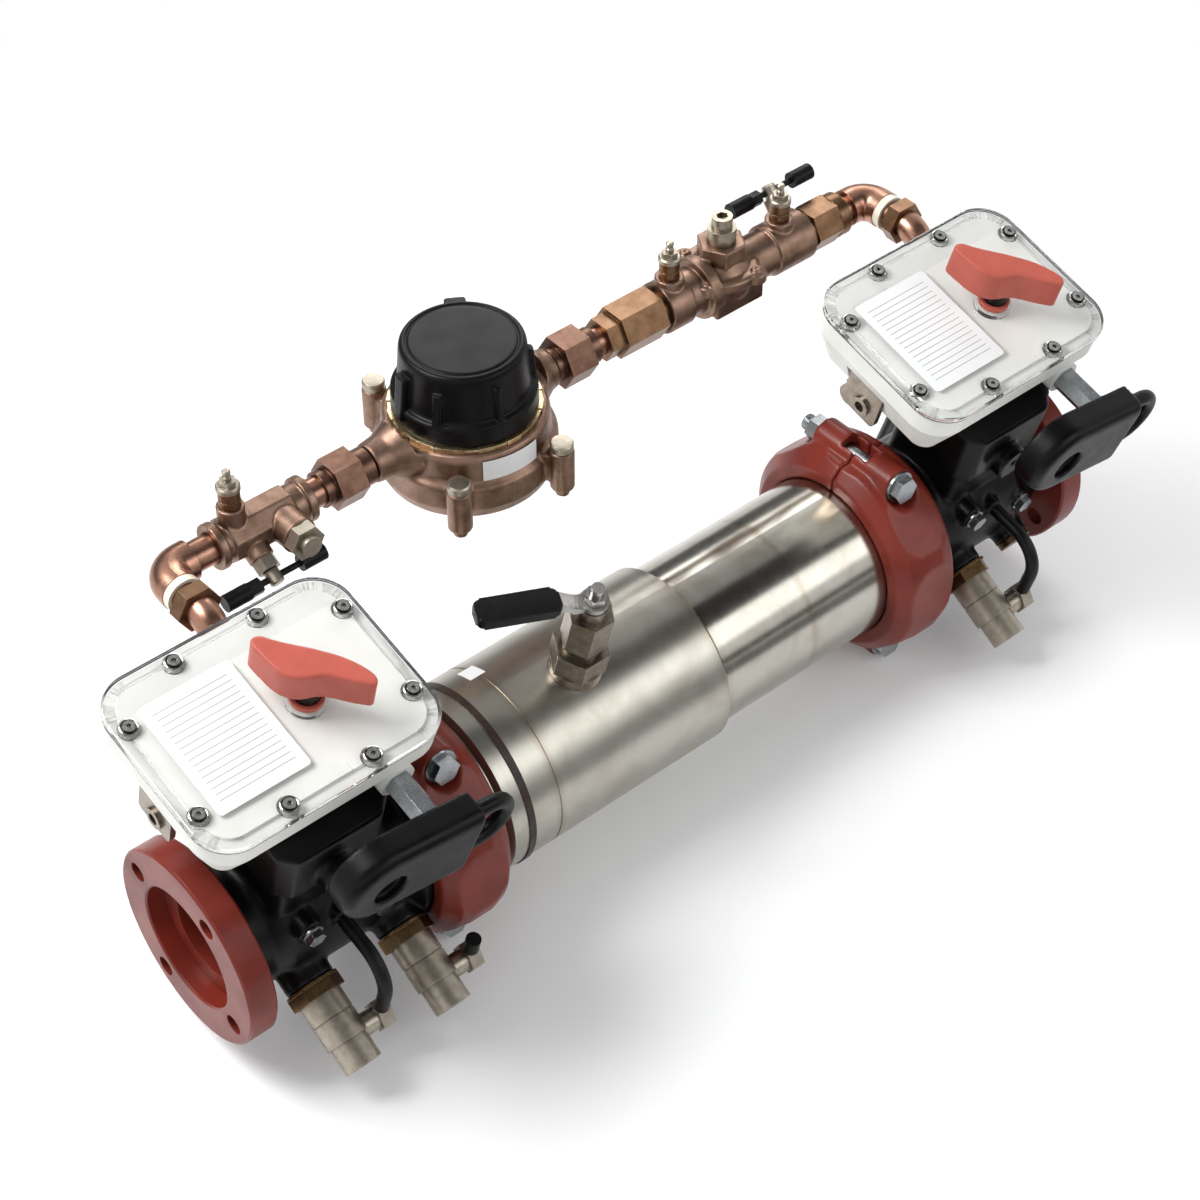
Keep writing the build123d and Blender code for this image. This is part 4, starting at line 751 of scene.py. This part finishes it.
class BACKFLOW_OT_studio(BackflowOperator, bpy.types.Operator):
    """Sets the camera, the soft lamps, the white surround, the floor and the reflected boards"""
    bl_idname = "backflow.studio"
    bl_label = "Studio"

    def execute(self, context):
        scene = context.scene
        scene.view_settings.view_transform = "Standard"
        lens = bpy.data.cameras.new("PhotoCamera")
        lens.lens = 83.08
        lens.sensor_width = 36.0
        lens.clip_end = 50.0
        camera = placed("PhotoCamera", lens)
        camera.location = (-0.68886, -1.34898, 1.84097)
        camera.rotation_euler = (math.radians(45.845), 0.0, math.radians(-40.418))
        scene.camera = camera
        self.lamps()
        self.surround(scene)
        self.floor()
        self.cards()
        return {"FINISHED"}

    def sheet(self, name, surface, spots):
        """A flat board with a material of its own."""
        mesh = bpy.data.meshes.new(name)
        mesh.from_pydata(spots, [], [(0, 1, 2, 3)])
        material, tree, shader, place = finish_tree(surface)
        mesh.materials.append(material)
        return placed(name, mesh), tree, shader, place

    def cards(self):
        """Boards that only shiny surfaces see: a dark one overhead and grey ones round the set."""
        for name, grey, left, right, near, far in (
                ("DarkCard", 0.035, -1.6, 3.2, (-1.15, 1.5), (-0.1, 1.75)),
                ("BackCard", 0.12, -2.5, 4.0, (2.3, 0.1), (2.3, 1.3)),
                ("FloorCard", 0.2, -2.5, 4.0, (-2.6, -0.1), (-0.5, -0.1)),
                ("FrontCard", 0.1, -2.5, 4.0, (-3.2, 0.0), (-3.2, 0.5))):
            spots = [(left, *near), (right, *near), (right, *far), (left, *far)]
            board, tree, shader, _ = self.sheet(name, name + "Board", spots)
            fill(tree, shader, {
                "Base Color": (0.0, 0.0, 0.0, 1.0), "Specular IOR Level": 0.0,
                "Emission Color": (grey, grey, grey * 1.02, 1.0), "Emission Strength": 1.0})
            for kind in ("camera", "diffuse", "transmission", "shadow"):
                setattr(board, f"visible_{kind}", False)
            board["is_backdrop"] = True

    def lamps(self):
        """One large key from the upper left, a weak fill and a rim from behind."""
        middle = Vector((0.5, 0.0, 0.05))
        for name, spot, size, power in (
                ("KeyLamp", (-0.9, 0.9, 2.3), (1.3, 1.3), 72.0),
                ("FillLamp", (1.6, -1.9, 1.5), (1.8, 1.2), 12.0),
                ("RimLamp", (1.9, 1.9, 1.6), (1.6, 0.8), 22.0)):
            lamp = bpy.data.lights.new(name, "AREA")
            lamp.shape = "RECTANGLE"
            lamp.size, lamp.size_y = size
            lamp.energy = power
            holder = placed(name, lamp)
            holder.location = spot
            holder.rotation_euler = (middle - Vector(spot)).to_track_quat("-Z", "Y").to_euler()

    def surround(self, scene):
        """A world that lights softly and shows white to the eye and to shiny metal."""
        world = bpy.data.worlds.new("WhiteSurround")
        world.use_nodes = True
        tree = world.node_tree
        tree.nodes.clear()
        path = add_node(tree, "ShaderNodeLightPath").outputs
        seen = maths(tree, "MAXIMUM", path["Is Camera Ray"], path["Is Transmission Ray"])
        sky = add_node(tree, "ShaderNodeTexCoord").outputs["Generated"]
        height = add_node(tree, "ShaderNodeSeparateXYZ", {0: sky}).outputs["Z"]
        shade = ramp(tree, height, 0.25, 0.95, 1.0, 0.35)
        soft, gloss, white = (
            add_node(tree, "ShaderNodeBackground", {
                "Color": rgba(code), "Strength": strength}).outputs[0]
            for code, strength in (("#F7F9FC", 0.56), ("#FFFFFF", shade), ("#FFFFFF", 1.0)))
        shiny = either(tree, path["Is Glossy Ray"], soft, gloss)
        add_node(tree, "ShaderNodeOutputWorld", {"Surface": either(tree, seen, shiny, white)})
        scene.world = world

    def floor(self):
        """A pale floor just under the couplings that keeps the assembly's soft shadow and fades
        to plain white further out."""
        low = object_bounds()[0][2] - 0.5 * MM
        spots = [(-6, -6, low), (7, -6, low), (7, 7, low), (-6, 7, low)]
        sheet, tree, shader, place = self.sheet("StudioFloor", "PaleStudioFloor", spots)
        speck = add_node(tree, "ShaderNodeTexNoise", {"Vector": place, "Scale": 3.0})
        tint = ramp(tree, speck.outputs["Fac"], 0.0, 1.0, 0.955, 0.975)
        fill(tree, shader, {"Base Color": tint, "Roughness": 0.6})
        middle = add_node(tree, "ShaderNodeVectorMath", {0: place, 1: (0.5, 0.0, low)},
                          operation="DISTANCE")
        away = ramp(tree, middle.outputs["Value"], 0.3, 1.5, 0.1, interpolation_type="SMOOTHSTEP")
        white = add_node(tree, "ShaderNodeEmission", {"Color": rgba("#FFFFFF")})
        show(tree, either(tree, away, shader.outputs[0], white.outputs[0]))
        sheet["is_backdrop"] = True


class BACKFLOW_OT_castings(BackflowOperator, bpy.types.Operator):
    """Enamels the flanges and couplings and coats the two valve bodies"""
    bl_idname = "backflow.castings"
    bl_label = "Castings"

    def execute(self, context):
        dress("rubber", "gaskets", "seat_liners")
        for tag in VALVE_X:
            dress("enamel", f"{tag}_flange", f"{tag}_coupling_front", f"{tag}_coupling_back")
            dress("epoxy", f"{tag}_body")
            for half in ("front", "back"):
                cast_copy(f"{tag}_coupling_{half}", "enamel", 1.9, 2)
            cast_copy(f"{tag}_body", "epoxy", 2.4, 4)
        for tag, face, way in (("inlet", 0.0, 1.0), ("outlet", FACE_TO_FACE, -1.0)):
            matrix = stand(Vector((face, 0.0, 0.0)) * MM, (way, 0.0, 0.0), BACK)
            for part, small, large, low, high in (
                    ("spigot", SPIGOT_BORE_R, SPIGOT_R, SPIGOT_FACE, SPIGOT_FACE + 1.0),
                    ("bore", SPIGOT_BORE_R - 1.1, SPIGOT_BORE_R - 0.05, SPIGOT_FACE - 0.2,
                     BORE_DEPTH[tag])):
                coat = lathe([(small, low), (large, low), (large, high), (small, high)], 72)
                piece_from(coat, f"{tag}_{part}_enamel", matrix, "enamel")
        return {"FINISHED"}


class BACKFLOW_OT_gear_boxes(BackflowOperator, bpy.types.Operator):
    """Finishes the two gear boxes and lays a bare label and the screws' rings on each lid"""
    bl_idname = "backflow.gear_boxes"
    bl_label = "Gear boxes"

    def execute(self, context):
        dress("abs", "inlet_housing", "outlet_housing")
        dress("lid", "inlet_lid", "outlet_lid")
        dress("screw", "lid_screws")
        dress("worn_nickel", "lug_brackets")
        outline = rounded_outline(self.size("label_width"), self.size("label_length"),
                                  self.size("label_corner"))
        for tag, centre in VALVE_X.items():
            piece_from(slab(outline, 0.05, 0.05 + self.size("label_thick")), f"{tag}_bare_label",
                       stand(leaned(centre + LABEL_DX, LABEL_Y, LID_TOP), LEAN_UP),
                       f"{tag}_label")
            self.clear_cover(tag, centre)
        self.screw_rings()
        return {"FINISHED"}

    def clear_cover(self, tag, centre):
        """The lid as moulded: a clean plate on a rim, with round outer edges, a raised collar round
        the hub, a shallow pocket and the screws' own holes."""
        under = LID_TOP - LID_H
        ceiling, rise, sunk = under + HOLLOW_H, LID_TOP + COLLAR_H, LID_TOP - POCKET_H
        width, depth, corner = LID
        outer = [(rounded_outline(width - 2 * cut, depth - 2 * cut, corner - cut, 32), height)
                 for cut, height in ((1.6, LID_TOP), (0.45, LID_TOP - 0.45), (0.0, LID_TOP - 1.6),
                                     (0.0, under + 1.0), (1.0, under))]
        hollow = rounded_outline(*LID_HOLLOW, 32)
        bore, collar = (ring_points(r, (STEM_DX, HUB_Y - BOX_Y)) for r in (HUB_BORE_R, COLLAR_R))
        screws, posts = ([ring_points(r, spot, 20) for spot in SCREW_SPOTS]
                         for r in (SCREW_R, POST_R))
        pocket = [(x + POCKET_DX, y + POCKET_DY) for x, y in rounded_outline(*POCKET, 4)]
        bm = merge(plate([outer[0][0], collar, pocket, *screws], LID_TOP), [
            plate([collar, bore], rise), plate([outer[-1][0], hollow], under),
            plate([hollow, bore, *posts], ceiling), plate([pocket], sunk),
            *[plate([post, screw], under) for post, screw in zip(posts, screws)]])
        for (high_loop, high), (low_loop, low) in zip(outer, outer[1:]):
            add_wall(bm, low_loop, low, high_loop, high)
        for loop, low, high in ((collar, LID_TOP, rise), (bore, ceiling, rise),
                                (hollow, under, ceiling), (pocket, sunk, LID_TOP),
                                *[(screw, under, LID_TOP) for screw in screws],
                                *[(post, under, ceiling) for post in posts]):
            add_wall(bm, loop, low, loop, high)
        matrix = stand(leaned(centre, BOX_Y, 0.0), LEAN_UP)
        cover = piece_from(bm, f"{tag}_clear_lid", matrix, "lid", smooth_deg=9.0)
        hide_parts(f"{tag}_lid")
        seal = rounded_outline(width - 1.6, depth - 1.6, corner - 0.8, 16)
        piece_from(cord_loop(seal, under + 0.5, 0.7), f"{tag}_lid_seal", matrix, "seal")

    def screw_rings(self):
        """A sealing ring under the head of every lid screw and a bright washer round it."""
        spots = [(centre + dx, BOX_Y + dy, LID_TOP + 0.4)
                 for centre in VALVE_X.values() for dx, dy in SCREW_SPOTS]
        for name, finish, radius, gauge in (
                ("lid_screw_rings", "rubber", 5.8, self.size("ring_gauge") / 2),
                ("lid_screw_washers", "screw", 7.3, 1.0)):
            bake(ring_tree(finish), {"Radius": radius, "Gauge": gauge}, name,
                 LEAN @ Matrix.Scale(MM, 4), finish, spots)


class BACKFLOW_OT_handles(BackflowOperator, bpy.types.Operator):
    """Finishes the indicator handles and cranks and puts the red ring round each hub"""
    bl_idname = "backflow.handles"
    bl_label = "Handles and cranks"

    def execute(self, context):
        for tag in VALVE_X:
            dress("coral", f"{tag}_handle")
            dress("nylon", f"{tag}_hub", f"{tag}_crank")
            dress("zinc", f"{tag}_input_shaft")
            cast_copy(f"{tag}_handle", "coral", 0.9, 4)
            cast_copy(f"{tag}_crank", "nylon", 1.3, 18)
        for tag, centre in VALVE_X.items():
            ring = lathe([(11.7, 235.35), (14.6, 235.35), (15.0, 235.9), (15.0, 240.2),
                          (14.3, 241.1), (11.7, 241.1)])
            matrix = stand(leaned(centre + STEM_DX, HUB_Y, 0.0), LEAN_UP)
            piece_from(ring, f"{tag}_hub_ring", matrix, "coral", f"{tag}_indicator")
        return {"FINISHED"}


class BACKFLOW_OT_barrel(BackflowOperator, bpy.types.Operator):
    """Brushes the stainless barrel and finishes its band, its checks and its bare sticker"""
    bl_idname = "backflow.barrel"
    bl_label = "Barrel"

    def execute(self, context):
        dress("stainless", "barrel")
        dress("band", "barrel_band")
        dress("nickel", "check_seats", "first_check_poppet", "second_check_poppet",
              "inlet_disc", "outlet_disc")
        strip = curved_patch(BARREL_R + 0.03, 0.12, (329.0, 346.0), 62.0, 75.5, 10)
        piece_from(strip, "barrel_bare_label", Matrix.Scale(MM, 4), "sticker")
        return {"FINISHED"}


class BACKFLOW_OT_test_valve(BackflowOperator, bpy.types.Operator):
    """Finishes the valve on the barrel and dips its lever in a black sleeve"""
    bl_idname = "backflow.test_valve"
    bl_label = "Barrel valve"

    def execute(self, context):
        dress("worn_nickel", "test_valve_body")
        dress("lever", "test_valve_lever")
        out = LEAN.to_3x3() @ Vector((*polar(1.0, 180.0 - LEVER_DEG), 0.0))
        wall = self.size("grip_wall")
        long, wide, thick = GRIP
        half = thick / 2 + wall
        bm = slab(rounded_outline(long, wide + 2 * wall, 6.5, 8), -half, half)
        rims = [e for e in bm.edges if abs(e.verts[0].co.z - e.verts[1].co.z) < 1e-6]
        bmesh.ops.bevel(bm, geom=rims, offset=3.2, segments=5, profile=0.5, affect="EDGES")
        middle = leaned(TEST_X, 0.0, LEVER_Z) + out * GRIP_REACH * MM
        piece_from(bm, "lever_sleeve", stand(middle, LEAN_UP, out), "rubber", "test_valve")
        return {"FINISHED"}


class BACKFLOW_OT_cocks(BackflowOperator, bpy.types.Operator):
    """Finishes the drain cocks and their hoses and cuts the thread in each mouth"""
    bl_idname = "backflow.cocks"
    bl_label = "Drain cocks"

    def execute(self, context):
        dress("nickel", "front_cocks")
        dress("patina", "cock_hexes", "outlet_plug")
        dress("rubber", "hoses")
        threads = thread_tree("nickel")
        sizes = {"Radius": 12.0, "Pitch": self.size("pipe_pitch"), "Turns": 7, "Ridge": 0.55}
        for number, x in enumerate(COCK_X, 1):
            start = Vector((x, 0.0, 0.0)) + Vector(COCK_DIR) * (COCK_MOUTH_R - COCK_THREAD)
            bake(threads, sizes, f"cock_{number}_thread", stand(start * MM, COCK_DIR), "nickel")
        return {"FINISHED"}


class BACKFLOW_OT_bypass(BackflowOperator, bpy.types.Operator):
    """Finishes the bypass, grows the check body's bonnet and adds the small valves' hubs"""
    bl_idname = "backflow.bypass"
    bl_label = "Bypass"

    def execute(self, context):
        dress("copper", "copper_tubes", "elbows")
        dress("bronze", "tee", "bypass_check_body")
        dress("browned", "union_nuts")
        dress("brass", "adaptors", "bypass_cocks", "bypass_check_seats", "bypass_poppet_one",
              "bypass_poppet_two")
        dress("ptfe", "ptfe_rings")
        dress("nickel", "nickel_fittings", "cock_stems", "bonnet_plug")
        dress("rubber", "tee_valve_handle", "back_valve_handle")
        cast_copy("tee", "bronze", 0.9, 4)
        for tag, (x, way) in SMALL_VALVES.items():
            middle = Vector((x, BYPASS_Y, BYPASS_Z)) + Vector(way) * BAR_REACH
            hub = lathe([(0.0, -6.8), (6.4, -6.8), (7.0, -6.2), (7.0, 5.4), (5.6, 6.6), (0.0, 6.6)])
            piece_from(hub, f"{tag}_valve_hub", stand(middle * MM, way), "nickel", f"{tag}_valve")
            start = middle + Vector((BAR_NUT_DX, 0.0, 0.0))
            nut = lathe([(0.0, 0.0), (6.6, 0.0), (7.7, 0.7), (7.7, 10.6), (6.6, 11.3), (0.0, 11.3)],
                        6)
            piece_from(nut, f"{tag}_valve_nut", stand(start * MM, ALONG), "nickel",
                       f"{tag}_valve", 20.0)
        cast_copy("bypass_check_body", "bronze", 1.05, 1, self.bonnet())
        return {"FINISHED"}

    def bonnet(self):
        """The check body's bonnet flange under its hexagon, with four bolt lobes, and the square
        waist below it."""
        shapes = [lathe([(24.0, 5.0), (36.0, 5.0), (37.0, 6.0), (37.0, 13.6), (34.5, 16.0),
                         (24.0, 16.0)])]
        for turn in LOBE_DEGS:
            lobe = lathe([(0.0, 5.0), (9.6, 5.0), (10.4, 6.0), (10.4, 14.2), (8.6, 16.0),
                          (0.0, 16.0)], 28)
            head = lathe([(0.0, 15.4), (4.8, 15.4), (4.8, 18.2), (4.0, 19.0), (1.8, 19.0),
                          (1.8, 17.6), (0.0, 17.6)], 20)
            for shape in (lobe, head):
                shape.transform(Matrix.Translation((*polar(LOBE_RING, turn), 0.0)))
                shapes.append(shape)
        for cheek_y in (-27.0, 27.0):
            outline = [(x, y + cheek_y) for x, y in rounded_outline(60.0, 6.0, 2.5, 4)]
            shapes.append(slab(outline, -22.0, 6.0))
        seat = stand(Vector((BONNET_X, BYPASS_Y, BYPASS_Z)) * MM, UP)
        for shape in shapes:
            bmesh.ops.recalc_face_normals(shape, faces=shape.faces)
            shape.transform(seat)
        return shapes


class BACKFLOW_OT_meter(BackflowOperator, bpy.types.Operator):
    """Finishes the water meter, moulds its cap and cuts the notches of its ring"""
    bl_idname = "backflow.meter"
    bl_label = "Water meter"

    def execute(self, context):
        dress("bronze", "meter_body")
        dress("notch", "meter_ring")
        dress("nylon", "meter_cap")
        dress("ptfe", "meter_rotor")
        dress("nickel", "meter_bolts")
        matrix = stand(Vector((METER_X, BYPASS_Y, 0.0)) * MM, UP)
        self.cap(matrix)
        bake(notch_tree("notch"),
             {"Radius": 68.6, "Count": 16, "Depth": 4.0, "Width": 15.0, "Height": 5.0},
             "meter_ring_notches", matrix @ Matrix.Translation((0.0, 0.0, METER_NOTCH_Z)), "notch")
        self.bolt_heads(matrix)
        cast_copy("meter_body", "bronze", 1.5, 5)
        strip = curved_patch(METER_PLATE_R, 0.2, (-228.0, -203.0), 165.0, 207.0, 24)
        upright = matrix @ Matrix.Rotation(math.radians(90.0), 4, "Y")
        piece_from(strip, "meter_bare_label", upright, "meter_label")
        return {"FINISHED"}

    def bolt_heads(self, matrix):
        """Broad flat heads, a little domed, on the four lugs."""
        heads = []
        for turn in LUG_DEGS:
            one = lathe([(0.0, 214.1), (10.4, 214.1), (10.8, 214.8), (10.8, 221.0), (9.6, 222.6),
                         (6.0, 222.9), (0.0, 222.9)], 40)
            one.transform(Matrix.Translation((*polar(LUG_RING, turn), 0.0)))
            heads.append(one)
        piece = piece_from(merge(bmesh.new(), heads), "meter_bolt_heads", matrix, "nickel")
        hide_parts("meter_bolts")

    def cap(self, matrix):
        """The moulded cap: a disc set in a round rim, a coned side, and a skirt with its band and
        the grip's ribs."""
        parts = [lathe([(0.0, 305.6), (48.6, 305.6), (49.2, 304.0), (50.8, 304.0), (51.4, 305.8),
                        (54.6, 305.2), (56.6, 303.2), (57.4, 299.6), (60.4, 260.0), (61.6, 257.6),
                        (65.0, 256.8), (66.7, 254.6), (66.9, 237.0), (66.2, 236.2), (58.0, 236.2),
                        (52.5, 296.0), (0.0, 296.0)], 128)]
        foot, cone, narrowing, thick = 246.0, 61.8, 4.2, 12.0
        for turn, width, top, reach in ((-98.0, 7.0, 291.0, 4.6), (172.0, 15.0, 290.0, 7.6),
                                        (58.0, 20.0, 301.0, 9.0), (-30.0, 9.0, 288.0, 5.4),
                                        (18.0, 8.0, 286.0, 4.8), (118.0, 8.0, 286.0, 4.8),
                                        (-150.0, 9.0, 288.0, 5.0)):
            rib = slab(rounded_outline(thick, width, 2.4, 4), foot, top)
            for vert in rib.verts:
                rise = (vert.co.z - foot) / (top - foot)
                vert.co.x += cone - narrowing * rise + (reach - thick / 2)
            rib.transform(Matrix.Rotation(math.radians(turn), 4, "Z"))
            parts.append(rib)
        for part in parts:
            bmesh.ops.recalc_face_normals(part, faces=part.faces)
            part.transform(matrix)
        mesh = mould(merge(bmesh.new(), parts), 1.0, 2)
        piece = finish_mesh(mesh, "meter_cap_moulded", "nylon", "assembly", 50.0)
        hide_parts("meter_cap")


class BACKFLOW_OT_bolts(BackflowOperator, bpy.types.Operator):
    """Finishes the bolts and rolls the threads of the coupling bolts"""
    bl_idname = "backflow.bolts"
    bl_label = "Bolts"

    def execute(self, context):
        dress("zinc", "bolts")
        threads = thread_tree("zinc")
        sizes = {"Radius": 7.75, "Pitch": self.size("thread_pitch"), "Turns": 5, "Ridge": 0.6}
        for number, x in enumerate(COUPLING_X, 1):
            for place, z in (("top", COUPLING_BOLT_Z), ("bottom", -COUPLING_BOLT_Z)):
                bake(threads, sizes, f"coupling_{number}_{place}_thread",
                     stand(Vector((x, BOLT_THREAD_Y, z)) * MM, BACK), "zinc")
        return {"FINISHED"}


class BACKFLOW_PT_panel(bpy.types.Panel):
    """Lists the makers, the sizes and the colours"""
    bl_idname = "BACKFLOW_PT_panel"
    bl_label = "Backflow Detector"
    bl_space_type = "VIEW_3D"
    bl_region_type = "UI"
    bl_category = "Backflow"

    def draw(self, context):
        column = self.layout.column(align=True)
        for maker in MAKERS:
            column.operator(maker.bl_idname)
        for group in (context.scene.backflow_sizes, context.scene.backflow_colours):
            box = self.layout.box()
            for name in group.bl_rna.properties.keys():
                if name not in ("rna_type", "name"):
                    box.prop(group, name)


MAKERS = (BACKFLOW_OT_studio, BACKFLOW_OT_castings, BACKFLOW_OT_gear_boxes, BACKFLOW_OT_handles,
          BACKFLOW_OT_barrel, BACKFLOW_OT_test_valve, BACKFLOW_OT_cocks, BACKFLOW_OT_bypass,
          BACKFLOW_OT_meter, BACKFLOW_OT_bolts)
CLASSES = (BackflowColours, BackflowSizes, *MAKERS, BACKFLOW_PT_panel)


def register():
    for one in CLASSES:
        bpy.utils.register_class(one)
    bpy.types.Scene.backflow_colours = bpy.props.PointerProperty(type=BackflowColours)
    bpy.types.Scene.backflow_sizes = bpy.props.PointerProperty(type=BackflowSizes)


def unregister():
    del bpy.types.Scene.backflow_sizes
    del bpy.types.Scene.backflow_colours
    for one in reversed(CLASSES):
        bpy.utils.unregister_class(one)


def main():
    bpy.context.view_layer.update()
    register()
    for maker in MAKERS:
        group, name = maker.bl_idname.split(".")
        getattr(getattr(bpy.ops, group), name)()


if __name__ == "__main__":
    main()
